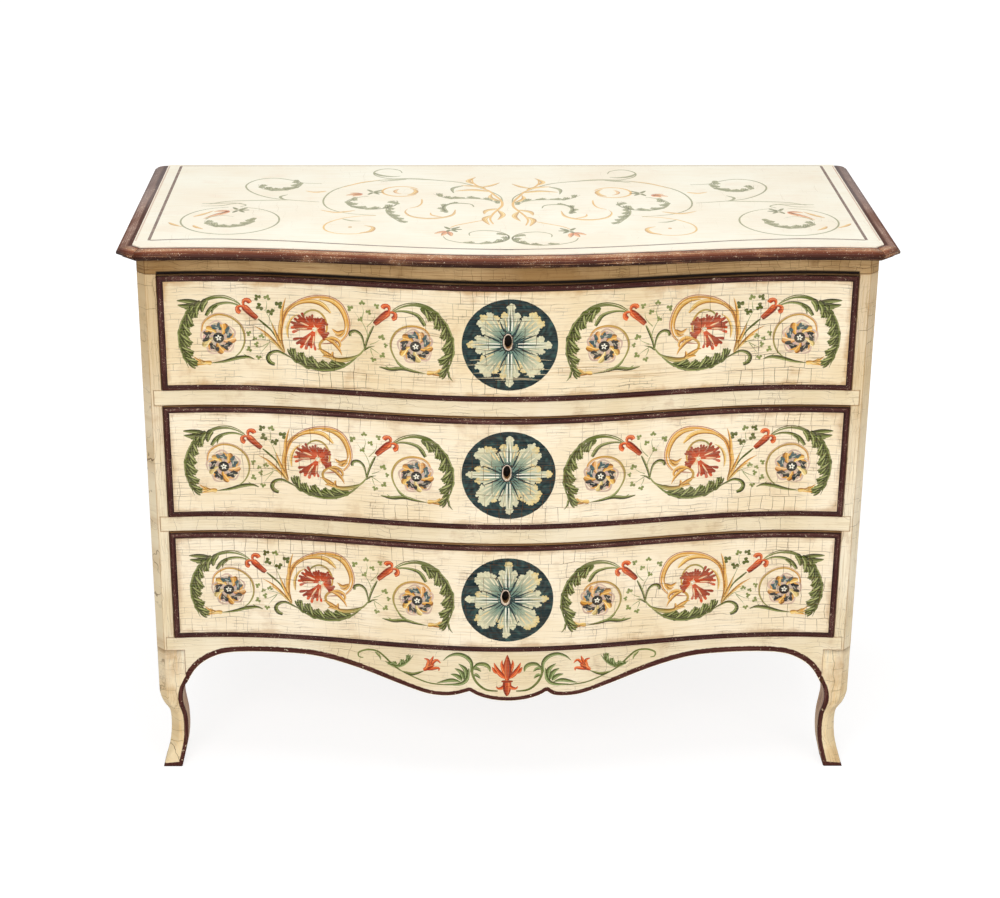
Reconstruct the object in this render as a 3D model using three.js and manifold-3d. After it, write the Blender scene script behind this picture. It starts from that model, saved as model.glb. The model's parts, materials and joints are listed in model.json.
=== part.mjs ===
// A painted three-drawer commode with a serpentine front, canted corners and cabriole feet.
// Millimetres, +Z up. X runs across the front, -Y is the front, and the origin is on the floor
// under the middle of the top.
import * as THREE from "three";
import { mergeVertices } from "three/addons/utils/BufferGeometryUtils.js";
import Module from "manifold-3d";

const wasm = await Module();
wasm.setup();

// Fits shared by every joint
const glueLine = 0.3; // between two pieces that are glued or nailed together
const overrun = 20; // how far a cutting tool runs past the wood

// The drawers, which set the width and most of the height
const drawerCount = 3;
const drawerFrontWidth = 1081;
const drawerFrontHeight = 188;
const drawerFrontThickness = 26;
const drawerProud = 4; // the painted field stands this far in front of the posts
const gapBeside = 1.5;
const gapOver = 2.2;
const gapUnder = 1.2;

// The serpentine: it swells in the middle and dips on either side
const bow = 50; // swell of the middle past the corners
const hollowShare = 0.85; // where the dip is deepest, as a share of the way to the corner
const frontSteps = 44;

// The case
const caseDepth = 478; // corner plane to the back of the back boards
const postWidth = 31;
const frontPostDepth = 46;
const backPostDepth = 40;
const cant = 14; // the cut-off corner of posts and feet
const railHeight = 25;
const railTongue = 13; // the rail ends show in the faces of the posts
const topRailHeight = 29;
const bottomRailHeight = 23;
const sideThickness = 18;
const backBoardThickness = 10;
const backBoardCount = 3;
const bottomBoardThickness = 8;

// The top
const topThickness = 18;
const topSideMargin = 3; // the board past the case at the sides
const topFrontMargin = 11; // and past the posts at the front
const topBow = 38; // swell of the board, less than the swell of the drawers
const topBackMargin = 5;
const mouldingReach = 24;
const mouldingStep = 2; // the moulding starts this far below the top

// The feet and aprons
const footHeight = 218;
const footWidth = 47;
const footDepth = 46;
const apronThickness = 22;
const apronDrop = 67; // from the bottom rail to the lowest point of the middle lobe
const sideApronDrop = 33;

// Runners and kickers
const ledgeWidth = 48;
const ledgeThickness = 14;
const guideHeight = 24;
const guideClearance = 1.5;
const runnerClearance = 0.3;
const kickerWidth = 30;
const kickerClearance = 1.5;

// The drawer boxes
const boxInset = 1; // the sides behind the ends of the front
const boxSideThickness = 12;
const boxSideHeight = 168;
const boxBackThickness = 12;
const boxBackDrop = 8; // the back below the top of the sides
const boxBottomThickness = 6;
const boxBottomLift = 8;
const grooveDepth = 5;
const tongueSetback = 4; // the bottom's front tongue ends this far inside the sides
const boxBackClearance = 0.5; // the drawers stop against the back boards
const tailCount = 3;
const tailLength = 14;
const tailTipHeight = 34;
const tailRootHeight = 25;
const beadWidth = 9;
const beadRebate = 3;
const beadProud = 2;

// The locks
const keyholeWidth = 12.5;
const keyholeHeight = 24;
const keyholeLift = 4; // above the middle of the drawer front
const lockWidth = 60;
const lockDepth = 14;
const lockInlet = 12; // how deep it is let into the front
const lockBelowKeyhole = 24;
const boltWidth = 16;
const boltThickness = 6;
const boltClearance = 0.6;
const boltTravel = 9;
const boltSetback = 0.5; // the bolt's end below the lock's edge
const keyChamberWidth = 34;
const keyChamberHeight = 30;
const keyPinRadius = 2;

// Places that follow from the sizes
const drawerHalf = drawerFrontWidth / 2;
const openingHalf = drawerHalf + gapBeside;
const caseHalf = openingHalf + postWidth;
const topBoardHalf = caseHalf + topSideMargin;
const topOverhang = topFrontMargin + mouldingReach;
const overallDepth = caseDepth + topBackMargin + topOverhang + topBow;
const cornerPlane = topOverhang + topBow - overallDepth / 2; // y of the posts' front faces
const caseBack = cornerPlane + caseDepth;
const backBoardFace = caseBack - backBoardThickness;
const frontPostBack = cornerPlane + frontPostDepth;
const backPostFront = backBoardFace - backPostDepth;
const bottomRailBase = footHeight + glueLine;
const lowestFrontBase = bottomRailBase + bottomRailHeight + gapUnder;
const drawerPitch = drawerFrontHeight + gapOver + railHeight + gapUnder;
const topRailBase = lowestFrontBase + (drawerCount - 1) * drawerPitch + drawerFrontHeight + gapOver;
const caseTop = topRailBase + topRailHeight;
const topBoardBase = caseTop + glueLine;
const overallHeight = topBoardBase + topThickness;
// Drawer 1 is the top one.
const frontBase = (drawer) => lowestFrontBase + (drawerCount - drawer) * drawerPitch;
const keyholeRise = drawerFrontHeight / 2 + keyholeLift;

// How far a serpentine that ends at reach stands out from its corner plane at x, with its swell in the middle.
function serpentine(x, reach, swell) {
  if (Math.abs(x) >= reach) return 0;
  const turn = Math.PI / hollowShare;
  const hollow = (swell * (1 + Math.cos(turn))) / (1 - Math.cos(turn));
  return ((swell + hollow) / 2) * (1 + Math.cos((turn * x) / reach)) - hollow;
}
const bowAt = (x) => serpentine(x, openingHalf, bow);

// Points of the line y = plane - bowAt(x) from one end to the other.
function bowedLine(fromX, toX, plane, standOut = bowAt) {
  const points = [];
  for (let i = 0; i <= frontSteps; i++) {
    const x = fromX + ((toX - fromX) * i) / frontSteps;
    points.push(new THREE.Vector2(x, plane - standOut(x)));
  }
  return points;
}

// Prisms: seen from above, from the front and from the side
function prism(shape, length, curveSegments = 2) {
  return new THREE.ExtrudeGeometry(shape, { depth: length, bevelEnabled: false, curveSegments });
}
function upright(outline, base, top) {
  const shape = outline instanceof THREE.Shape ? outline : new THREE.Shape(outline);
  return prism(shape, top - base).translate(0, 0, base);
}
// The outline is in x and z.
function frontToBack(outline, front, back, curveSegments = 2) {
  const shape = outline instanceof THREE.Shape ? outline : new THREE.Shape(outline);
  return prism(shape, back - front, curveSegments).rotateX(Math.PI / 2).translate(0, back, 0);
}
// The outline is in y and z.
function sideToSide(outline, fromX, toX, curveSegments = 2) {
  const shape = outline instanceof THREE.Shape ? outline : new THREE.Shape(outline);
  const lying = prism(shape, toX - fromX, curveSegments).rotateX(Math.PI / 2);
  return lying.rotateZ(Math.PI / 2).translate(fromX, 0, 0);
}
function block(fromX, toX, fromY, toY, fromZ, toZ) {
  const box = new THREE.BoxGeometry(toX - fromX, toY - fromY, toZ - fromZ);
  return box.translate((fromX + toX) / 2, (fromY + toY) / 2, (fromZ + toZ) / 2);
}

// Joining and cutting
function solidOf(geometry) {
  const bare = geometry.clone();
  bare.deleteAttribute("normal");
  bare.deleteAttribute("uv");
  const merged = mergeVertices(bare);
  return new wasm.Manifold(
    new wasm.Mesh({
      numProp: 3,
      vertProperties: new Float32Array(merged.getAttribute("position").array),
      triVerts: new Uint32Array(merged.index.array),
    }),
  );
}
function geometryOf(solid) {
  const mesh = solid.getMesh();
  const geometry = new THREE.BufferGeometry();
  geometry.setAttribute("position", new THREE.BufferAttribute(mesh.vertProperties, mesh.numProp));
  geometry.setIndex(new THREE.BufferAttribute(mesh.triVerts, 1));
  return geometry;
}
function cut(body, ...tools) {
  return geometryOf(tools.reduce((left, tool) => left.subtract(solidOf(tool)), solidOf(body)));
}
function join(body, ...others) {
  return geometryOf(others.reduce((sum, other) => sum.add(solidOf(other)), solidOf(body)));
}
function common(body, ...others) {
  return geometryOf(others.reduce((part, other) => part.intersect(solidOf(other)), solidOf(body)));
}

// Lofts a closed section through rings of points. An open run gets two end faces, triangulated on the
// section as it is seen from outside the first end.
function loft(rings, closed) {
  const size = rings[0].length;
  const positions = rings.flat().flatMap((point) => [point.x, point.y, point.z]);
  const faces = [];
  const last = closed ? rings.length : rings.length - 1;
  for (let ring = 0; ring < last; ring++) {
    const here = ring * size;
    const next = ((ring + 1) % rings.length) * size;
    for (let i = 0; i < size; i++) {
      const j = (i + 1) % size;
      faces.push(here + i, next + i, next + j, here + i, next + j, here + j);
    }
  }
  return { positions, faces, size };
}
function loftedGeometry(rings, section, closed) {
  const { positions, faces, size } = loft(rings, closed);
  if (!closed) {
    const end = (rings.length - 1) * size;
    for (const [a, b, c] of THREE.ShapeUtils.triangulateShape(section, [])) {
      faces.push(a, b, c);
      faces.push(end + a, end + c, end + b);
    }
  }
  const geometry = new THREE.BufferGeometry();
  geometry.setAttribute("position", new THREE.Float32BufferAttribute(positions, 3));
  geometry.setIndex(faces);
  return geometry;
}

// Colours and finishes
const paint = (color, roughness) => new THREE.MeshStandardMaterial({ color, roughness, metalness: 0 });
const creamPaint = paint(0xe9d9b4, 0.5);
const plumPaint = paint(0x5a3336, 0.45);
const bareWood = paint(0xb08a5c, 0.7);
const oldIron = new THREE.MeshStandardMaterial({ color: 0x4a4640, roughness: 0.5, metalness: 0.9 });

const commode = new THREE.Group();
function add(name, geometry, material, parent = commode) {
  const mesh = new THREE.Mesh(geometry, material);
  mesh.name = name;
  parent.add(mesh);
  return mesh;
}
// A right-hand piece and its mirror image on the left.
function addPair(name, geometry, material) {
  add(`right_${name}`, geometry, material);
  add(`left_${name}`, geometry, material).scale.set(-1, 1, 1);
}

// The plan of the case: serpentine front, canted corners, square back
function casePlan(backY) {
  return [
    new THREE.Vector2(-caseHalf, backY),
    new THREE.Vector2(-caseHalf, cornerPlane + cant),
    new THREE.Vector2(cant - caseHalf, cornerPlane),
    ...bowedLine(-openingHalf, openingHalf, cornerPlane),
    new THREE.Vector2(caseHalf - cant, cornerPlane),
    new THREE.Vector2(caseHalf, cornerPlane + cant),
    new THREE.Vector2(caseHalf, backY),
  ];
}

// The edge line of the top board, from the back on the left round to the back on the right
const topCant = cant; // the board's cut corner is as wide as the case's
const topCornerX = topBoardHalf - topCant;
const topPlane = cornerPlane - topFrontMargin;
const topBackY = caseBack + topBackMargin;
const topStandOut = (x) => serpentine(x, topCornerX, topBow);
const topLeftEdge = [
  new THREE.Vector2(-topBoardHalf, topBackY),
  new THREE.Vector2(-topBoardHalf, topPlane + topCant),
];
const topFrontEdge = bowedLine(-topCornerX, topCornerX, topPlane, topStandOut);
const topRightEdge = topLeftEdge.map((p) => new THREE.Vector2(-p.x, p.y)).reverse();
const topEdge = [...topLeftEdge, ...topFrontEdge, ...topRightEdge];

function makeTopBoard() {
  add("top_board", upright(topEdge, topBoardBase, overallHeight), creamPaint);
}

// Section of the edge moulding: reach from the board, and drop below the top.
// A fillet, a thumb and a cove under it.
const thumbDropShare = 0.56; // how far down the nose of the thumb ends
const filletShare = 0.12;
const coveReachShare = 0.62;
const thumbSteps = 6;
const coveSteps = 3;
function mouldingSection() {
  const filletReach = glueLine + filletShare * mouldingReach;
  const nose = thumbDropShare * topThickness;
  const points = [new THREE.Vector2(glueLine, -topThickness), new THREE.Vector2(glueLine, -mouldingStep)];
  for (let i = 0; i <= thumbSteps; i++) {
    const angle = (Math.PI / 2) * (i / thumbSteps);
    const reach = filletReach + (mouldingReach - filletReach) * Math.sin(angle);
    const drop = mouldingStep + (nose - mouldingStep) * (1 - Math.cos(angle));
    points.push(new THREE.Vector2(reach, -drop));
  }
  const coveEnd = coveReachShare * mouldingReach;
  const listel = nose + filletShare * topThickness;
  for (let i = 0; i <= coveSteps; i++) {
    const angle = (Math.PI / 2) * (i / coveSteps);
    const reach = mouldingReach - (mouldingReach - coveEnd) * Math.sin(angle);
    const drop = topThickness - (topThickness - listel) * Math.cos(angle);
    points.push(new THREE.Vector2(reach, -drop));
  }
  return points.reverse();
}

// The way a mitre runs at each point of an open line, outwards, for one unit of reach.
function mitres(line) {
  return line.map((point, i) => {
    const before = point.clone().sub(line[Math.max(i - 1, 0)]);
    const after = line[Math.min(i + 1, line.length - 1)].clone().sub(point);
    const first = (i > 0 ? before : after).normalize();
    const second = (i < line.length - 1 ? after : before).normalize();
    const normalA = new THREE.Vector2(first.y, -first.x);
    const normalB = new THREE.Vector2(second.y, -second.x);
    return normalA.clone().add(normalB).divideScalar(1 + normalA.dot(normalB));
  });
}

function addMoulding(name, fromIndex, toIndex) {
  const section = mouldingSection();
  const run = topEdge.slice(fromIndex, toIndex + 1).map((point) => point.clone());
  const ways = mitres(topEdge).slice(fromIndex, toIndex + 1);
  const end = run.length - 1;
  const startWay = run[1].clone().sub(run[0]).normalize();
  const endWay = run[end - 1].clone().sub(run[end]).normalize();
  if (fromIndex > 0) run[0].addScaledVector(startWay, glueLine);
  if (toIndex < topEdge.length - 1) run[end].addScaledVector(endWay, glueLine);
  const rings = run.map((point, i) =>
    section.map((s) => new THREE.Vector3(
      point.x + ways[i].x * s.x,
      point.y + ways[i].y * s.x,
      overallHeight + s.y,
    )),
  );
  add(name, loftedGeometry(rings, section, false), plumPaint);
}
function makeTopMouldings() {
  const frontStart = topLeftEdge.length;
  const frontEnd = frontStart + topFrontEdge.length - 1;
  addMoulding("top_moulding_left", 0, frontStart - 1);
  addMoulding("top_moulding_left_corner", frontStart - 1, frontStart);
  addMoulding("top_moulding_front", frontStart, frontEnd);
  addMoulding("top_moulding_right_corner", frontEnd, frontEnd + 1);
  addMoulding("top_moulding_right", frontEnd + 1, topEdge.length - 1);
}

// Where the bolts of the locks stand, from front to back
const lockBack = (drawerBackPlane) => drawerBackPlane + lockDepth - lockInlet;
const drawerFieldPlane = cornerPlane - drawerProud;
const drawerBackPlane = drawerFieldPlane + drawerFrontThickness;
const boltMiddle = lockBack(drawerBackPlane - bow) - lockDepth / 2;

// A pocket in the underside of a rail for the bolt of the lock below it
function boltPocket(railBase) {
  const halfWidth = boltWidth / 2 + 2 * boltClearance;
  const halfDepth = boltThickness / 2 + 2 * boltClearance;
  return block(
    -halfWidth, halfWidth, boltMiddle - halfDepth, boltMiddle + halfDepth,
    railBase - overrun, railBase + boltTravel - gapOver + 2 * boltClearance,
  );
}

const railEnd = openingHalf + railTongue - glueLine;
function railPlan() {
  return [
    new THREE.Vector2(-railEnd, frontPostBack),
    new THREE.Vector2(-railEnd, cornerPlane),
    ...bowedLine(-openingHalf, openingHalf, cornerPlane),
    new THREE.Vector2(railEnd, cornerPlane),
    new THREE.Vector2(railEnd, frontPostBack),
  ];
}
const railBases = [bottomRailBase];
for (let drawer = drawerCount; drawer > 1; drawer--) {
  railBases.push(frontBase(drawer) + drawerFrontHeight + gapOver);
}
const railTops = railBases.map((base, i) => base + (i ? railHeight : bottomRailHeight));

function makeRails() {
  add("top_rail", cut(upright(casePlan(frontPostBack), topRailBase, caseTop), boltPocket(topRailBase)), creamPaint);
  const names = ["bottom_rail", "lower_divider_rail", "upper_divider_rail"];
  railBases.forEach((base, i) => {
    const rail = upright(railPlan(), base, railTops[i]);
    add(names[i], i ? cut(rail, boltPocket(base)) : rail, creamPaint);
  });
}

// Front posts are notched for the tongues of the rails.
function makePosts() {
  const postPlan = [
    new THREE.Vector2(openingHalf, frontPostBack),
    new THREE.Vector2(openingHalf, cornerPlane),
    new THREE.Vector2(caseHalf - cant, cornerPlane),
    new THREE.Vector2(caseHalf, cornerPlane + cant),
    new THREE.Vector2(caseHalf, frontPostBack),
  ];
  const notches = railBases.map((base, i) => block(
    openingHalf - overrun, openingHalf + railTongue, cornerPlane - overrun, frontPostBack + overrun,
    i ? base - glueLine : base - overrun, railTops[i] + glueLine,
  ));
  const post = cut(upright(postPlan, bottomRailBase, topRailBase - glueLine), ...notches);
  addPair("front_post", post, creamPaint);
  const backPost = block(
    caseHalf - postWidth, caseHalf, backPostFront, backBoardFace - glueLine, bottomRailBase, caseTop,
  );
  addPair("back_post", backPost, creamPaint);
}

function makeSidesAndBack() {
  const side = block(
    caseHalf - sideThickness, caseHalf, frontPostBack + glueLine, backPostFront - glueLine,
    bottomRailBase, caseTop,
  );
  addPair("side", side, creamPaint);
  const boardHeight = (caseTop - bottomRailBase) / backBoardCount;
  for (let i = 0; i < backBoardCount; i++) {
    const base = bottomRailBase + i * boardHeight;
    const board = block(-caseHalf, caseHalf, backBoardFace, caseBack, base, base + boardHeight - glueLine);
    add(`back_board_${backBoardCount - i}`, board, bareWood);
  }
  const bottomTop = frontBase(drawerCount) - runnerClearance - ledgeThickness - glueLine;
  const bottom = block(
    sideThickness + glueLine - caseHalf, caseHalf - sideThickness - glueLine,
    frontPostBack + glueLine, backPostFront - glueLine,
    bottomTop - bottomBoardThickness, bottomTop,
  );
  add("bottom_board", bottom, bareWood);
}

// Runners carry the sides of a drawer and guide them; kickers over the top drawer stop it tipping.
function makeRunners() {
  const outer = caseHalf - sideThickness - glueLine;
  const guideX = drawerHalf - boxInset + guideClearance;
  const from = frontPostBack + glueLine;
  const to = backPostFront - glueLine;
  for (let drawer = 1; drawer <= drawerCount; drawer++) {
    const top = frontBase(drawer) - runnerClearance;
    const section = new THREE.Shape([
      new THREE.Vector2(outer - ledgeWidth, top - ledgeThickness),
      new THREE.Vector2(outer, top - ledgeThickness),
      new THREE.Vector2(outer, top + guideHeight),
      new THREE.Vector2(guideX, top + guideHeight),
      new THREE.Vector2(guideX, top),
      new THREE.Vector2(outer - ledgeWidth, top),
    ]);
    addPair(`runner_${drawer}`, frontToBack(section, from, to), bareWood);
  }
  const kickerBase = frontBase(1) + boxSideHeight + kickerClearance;
  addPair("kicker", block(outer - kickerWidth, outer, from, to, kickerBase, caseTop), bareWood);
}

// A foot from the floor to the block over its knee: height in shares of footHeight, then three places in
// shares of footWidth: the outer face in from the side, the inner face in from the side, and the front
// face behind the corner plane. It has a knee, a narrow ankle and a toe that turns out.
const footShares = [
  [0, 0.05, 0.72, 0], [0.073, 0.15, 0.8, 0.075], [0.174, 0.27, 0.905, 0.19], [0.284, 0.325, 0.955, 0.265],
  [0.39, 0.33, 0.95, 0.245], [0.45, 0.283, 0.92, 0.19], [0.518, 0.138, 0.872, 0.055],
  [0.573, 0.05, 0.84, 0.01], [0.633, 0, 0.86, 0], [0.688, 0, 0.925, 0], [0.72, 0, 1, 0],
];
const footSteps = 20;
const footSides = new THREE.CatmullRomCurve3(
  footShares.map(([up, outer, inner]) => new THREE.Vector3(outer, inner, up)), false, "catmullrom",
);
const footFronts = new THREE.CatmullRomCurve3(
  footShares.map(([up, , , front]) => new THREE.Vector3(front, 0, up)), false, "catmullrom",
);
// Lofts a foot from its plan at each height, given clockwise as seen from above.
function foot(planAt) {
  const rings = [];
  const addRing = (sides, setBack, z) => {
    const outer = caseHalf - Math.max(sides.x, 0) * footWidth;
    const inner = caseHalf - Math.min(sides.y, 1) * footWidth;
    rings.push(planAt(outer, inner, setBack).map(([x, y]) => new THREE.Vector3(x, y, z)));
  };
  for (let i = 0; i <= footSteps; i++) {
    const sides = footSides.getPoint(i / footSteps);
    const setBack = Math.max(footFronts.getPoint(i / footSteps).x, 0) * footWidth;
    addRing(sides, setBack, sides.z * footHeight);
  }
  addRing(footSides.getPoint(1), 0, footHeight);
  const soleFromBelow = rings[0].map((point) => new THREE.Vector2(-point.x, point.y));
  return loftedGeometry(rings, soleFromBelow, false);
}
// The outer corner of a front foot is cut off as the case's is.
function frontFootPlan(outer, inner, setBack) {
  const front = cornerPlane + setBack;
  const back = cornerPlane + footDepth;
  return [[inner, back], [outer, back], [outer, front + cant], [outer - cant, front], [inner, front]];
}
// A back foot is sawn to the same outline and is flat behind.
function backFootPlan(outer, inner) {
  const front = caseBack - footDepth;
  return [[inner, caseBack], [outer, caseBack], [outer, front], [inner, front]];
}
function makeFeet() {
  addPair("front_foot", foot(frontFootPlan), creamPaint);
  addPair("back_foot", foot(backFootPlan), creamPaint);
}

// Lower edge of the front apron from the foot to the middle, in shares of its half width and drop:
// an arch at the foot, a long slope, a side lobe, a nick, and the middle lobe.
const archShares = [
  [1, 0.93], [0.983, 0.68], [0.97, 0.53], [0.951, 0.38], [0.921, 0.23], [0.881, 0.115], [0.818, 0.06],
  [0.7, 0.045], [0.58, 0.085], [0.455, 0.31], [0.329, 0.65], [0.25, 0.85], [0.2, 0.9], [0.155, 0.87],
  [0.12, 0.75],
];
const middleLobeShares = [[0.093, 0.87], [0.05, 0.965], [0, 1]];
const middleLobeShift = 6; // the middle lobe and its nicks were sawn a little to the right
const apronSegments = 3;
// The arch of a side apron: how far in its handles reach, and how high, in shares of its length and drop
const sideArchShare = 0.15;
const sideApronRiseShare = 1.12;
const sideArchSegments = 16;
function makeAprons() {
  const half = caseHalf - footWidth - glueLine;
  const top = footHeight;
  const at = ([across, drop], side) => {
    const shift = across > archShares.at(-1)[0] ? 0 : middleLobeShift;
    return new THREE.Vector2(side * across * half + shift, top - drop * apronDrop);
  };
  const shape = new THREE.Shape();
  shape.moveTo(half, top);
  shape.lineTo(-half, top);
  shape.lineTo(at(archShares[0], -1).x, at(archShares[0], -1).y);
  shape.splineThru(archShares.slice(1).map((share) => at(share, -1)));
  const rising = [...middleLobeShares].reverse().slice(1).map((share) => at(share, 1));
  shape.splineThru([...middleLobeShares.map((share) => at(share, -1)), ...rising, at(archShares.at(-1), 1)]);
  shape.splineThru([...archShares].reverse().slice(1).map((share) => at(share, 1)));
  const plan = [
    ...bowedLine(-half, half, cornerPlane),
    ...bowedLine(half, -half, cornerPlane + apronThickness),
  ];
  const board = upright(plan, top - apronDrop - overrun, top);
  const profile = frontToBack(shape, cornerPlane - bow - overrun, caseBack, apronSegments);
  add("apron", common(board, profile), creamPaint);

  const from = cornerPlane + footDepth + glueLine;
  const to = caseBack - footDepth - glueLine;
  const archRise = sideApronRiseShare * sideApronDrop;
  const side = new THREE.Shape();
  side.moveTo(to, top);
  side.lineTo(from, top);
  side.lineTo(from, top - sideApronDrop);
  side.bezierCurveTo(
    from + sideArchShare * (to - from), top - sideApronDrop + archRise,
    to - sideArchShare * (to - from), top - sideApronDrop + archRise,
    to, top - sideApronDrop,
  );
  const sideApron = sideToSide(side, caseHalf - apronThickness, caseHalf, sideArchSegments);
  addPair("side_apron", sideApron, creamPaint);
}

// The side of a drawer box from the side, with its dovetails. Grown is a clearance all round.
function boxSideOutline(base, grown) {
  const front = drawerBackPlane - grown;
  const back = backBoardFace - boxBackClearance + grown;
  const low = base - grown;
  const high = base + boxSideHeight + grown;
  const pitch = boxSideHeight / tailCount;
  const points = [new THREE.Vector2(back, low), new THREE.Vector2(back, high), new THREE.Vector2(front, high)];
  for (let tail = tailCount - 1; tail >= 0; tail--) {
    const middle = base + (tail + 1 / 2) * pitch;
    const root = tailRootHeight / 2 + grown;
    const tip = tailTipHeight / 2 + grown;
    points.push(new THREE.Vector2(front, middle + root));
    points.push(new THREE.Vector2(front - tailLength, middle + tip));
    points.push(new THREE.Vector2(front - tailLength, middle - tip));
    points.push(new THREE.Vector2(front, middle - root));
  }
  points.push(new THREE.Vector2(front, low));
  return points;
}

const boxHalf = drawerHalf - boxInset;
const boxInnerHalf = boxHalf - boxSideThickness;
// The bottom board has tongues for the grooves in the front and the sides, and a notch at each front corner.
function boxBottom(base) {
  const half = boxInnerHalf + grooveDepth - glueLine;
  const tongueHalf = boxInnerHalf - tongueSetback;
  const shoulder = drawerBackPlane - bowAt(tongueHalf) + glueLine;
  const back = backBoardFace - boxBackClearance;
  const outline = [
    new THREE.Vector2(-half, shoulder),
    new THREE.Vector2(-tongueHalf, shoulder),
    ...bowedLine(-tongueHalf, tongueHalf, drawerBackPlane - grooveDepth + glueLine),
    new THREE.Vector2(tongueHalf, shoulder),
    new THREE.Vector2(half, shoulder),
    new THREE.Vector2(half, back),
    new THREE.Vector2(-half, back),
  ];
  return upright(outline, base + boxBottomLift, base + boxBottomLift + boxBottomThickness);
}
// The groove in the back of the front stops short of the dovetails.
function bottomGroove(base) {
  const half = boxInnerHalf - tongueSetback + glueLine;
  const outline = [
    ...bowedLine(-half, half, drawerBackPlane - grooveDepth),
    new THREE.Vector2(half, drawerBackPlane + overrun),
    new THREE.Vector2(-half, drawerBackPlane + overrun),
  ];
  const low = base + boxBottomLift;
  return upright(outline, low - glueLine, low + boxBottomThickness + glueLine);
}

const beadSteps = 30;
// A frame of half-round bead in a rebate round the drawer front
function beadFrame(base) {
  const rise = beadRebate + beadProud;
  // Shares of the width in from the edge, and of the rise in front of the rebate
  const sectionShares = [[0, 0], [0, 0.45], [0.14, 0.82], [0.38, 1], [0.62, 1], [0.86, 0.82], [1, 0.55], [1, 0]];
  const low = base;
  const high = base + drawerFrontHeight;
  const rings = [];
  const ringAt = (x, z, inX, inZ) => {
    rings.push(sectionShares.map(([inward, out]) => {
      const px = x + inX * inward * beadWidth;
      const pz = z + inZ * inward * beadWidth;
      const face = drawerFieldPlane + beadRebate - bowAt(px);
      return new THREE.Vector3(px, face - glueLine - out * (rise - glueLine), pz);
    }));
  };
  for (let i = 0; i <= beadSteps; i++) {
    const x = drawerHalf * (1 - (2 * i) / beadSteps);
    ringAt(x, high, i === 0 ? -1 : i === beadSteps ? 1 : 0, -1);
  }
  for (let i = 0; i <= beadSteps; i++) {
    const x = drawerHalf * ((2 * i) / beadSteps - 1);
    ringAt(x, low, i === 0 ? 1 : i === beadSteps ? -1 : 0, 1);
  }
  return loftedGeometry(rings, null, true);
}

const keyPinSides = 10;
// The lock: a case let into the back of the front, with a channel for the bolt and a key chamber
function lockCase(base) {
  const back = lockBack(drawerBackPlane - bow);
  const top = base + drawerFrontHeight;
  const keyZ = base + keyholeRise;
  const halfBolt = boltWidth / 2 + boltClearance;
  const halfThick = boltThickness / 2 + boltClearance;
  const body = block(-lockWidth / 2, lockWidth / 2, back - lockDepth, back, keyZ - lockBelowKeyhole, top);
  const channel = block(-halfBolt, halfBolt, boltMiddle - halfThick, boltMiddle + halfThick, keyZ, top + overrun);
  const chamber = block(
    -keyChamberWidth / 2, keyChamberWidth / 2, boltMiddle - halfThick, boltMiddle + halfThick,
    keyZ - keyChamberHeight / 2, keyZ + keyChamberHeight / 2,
  );
  const mouth = block(
    -keyholeWidth / 2, keyholeWidth / 2, back - lockDepth - overrun, boltMiddle,
    keyZ - keyholeHeight / 2, keyZ + keyholeHeight / 2,
  );
  const pin = new THREE.CylinderGeometry(keyPinRadius, keyPinRadius, lockDepth - glueLine, keyPinSides);
  pin.translate(0, back - (lockDepth - glueLine) / 2, keyZ + keyholeHeight / 2 - 2 * keyPinRadius);
  return join(cut(body, channel, chamber, mouth), pin);
}
function lockBolt(base) {
  return block(
    -boltWidth / 2, boltWidth / 2, boltMiddle - boltThickness / 2, boltMiddle + boltThickness / 2,
    base + keyholeRise + keyChamberHeight / 2, base + drawerFrontHeight - boltSetback,
  );
}

const keyholeSegments = 8;
function drawerFront(base) {
  const plate = upright([
    ...bowedLine(-drawerHalf, drawerHalf, drawerFieldPlane + beadRebate),
    ...bowedLine(drawerHalf, -drawerHalf, drawerBackPlane),
  ], base, base + drawerFrontHeight);
  const inset = beadWidth + glueLine;
  const field = upright([
    ...bowedLine(inset - drawerHalf, drawerHalf - inset, drawerFieldPlane),
    ...bowedLine(drawerHalf - inset, inset - drawerHalf, drawerFieldPlane + 2 * beadRebate),
  ], base + inset, base + drawerFrontHeight - inset);
  const hole = new THREE.Shape();
  hole.absellipse(0, base + keyholeRise, keyholeWidth / 2, keyholeHeight / 2, 0, 2 * Math.PI, false);
  const keyhole = frontToBack(hole, cornerPlane - bow - overrun, drawerBackPlane, keyholeSegments);
  const lockBed = block(
    -lockWidth / 2 - glueLine, lockWidth / 2 + glueLine,
    lockBack(drawerBackPlane - bow) - lockDepth - glueLine, drawerBackPlane + overrun,
    base + keyholeRise - lockBelowKeyhole - glueLine, base + drawerFrontHeight + overrun,
  );
  const sockets = sideToSide(boxSideOutline(base, glueLine), boxInnerHalf - glueLine, drawerHalf + overrun);
  const leftSockets = sideToSide(boxSideOutline(base, glueLine), -drawerHalf - overrun, glueLine - boxInnerHalf);
  return cut(join(plate, field), keyhole, lockBed, sockets, leftSockets, bottomGroove(base));
}

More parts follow.
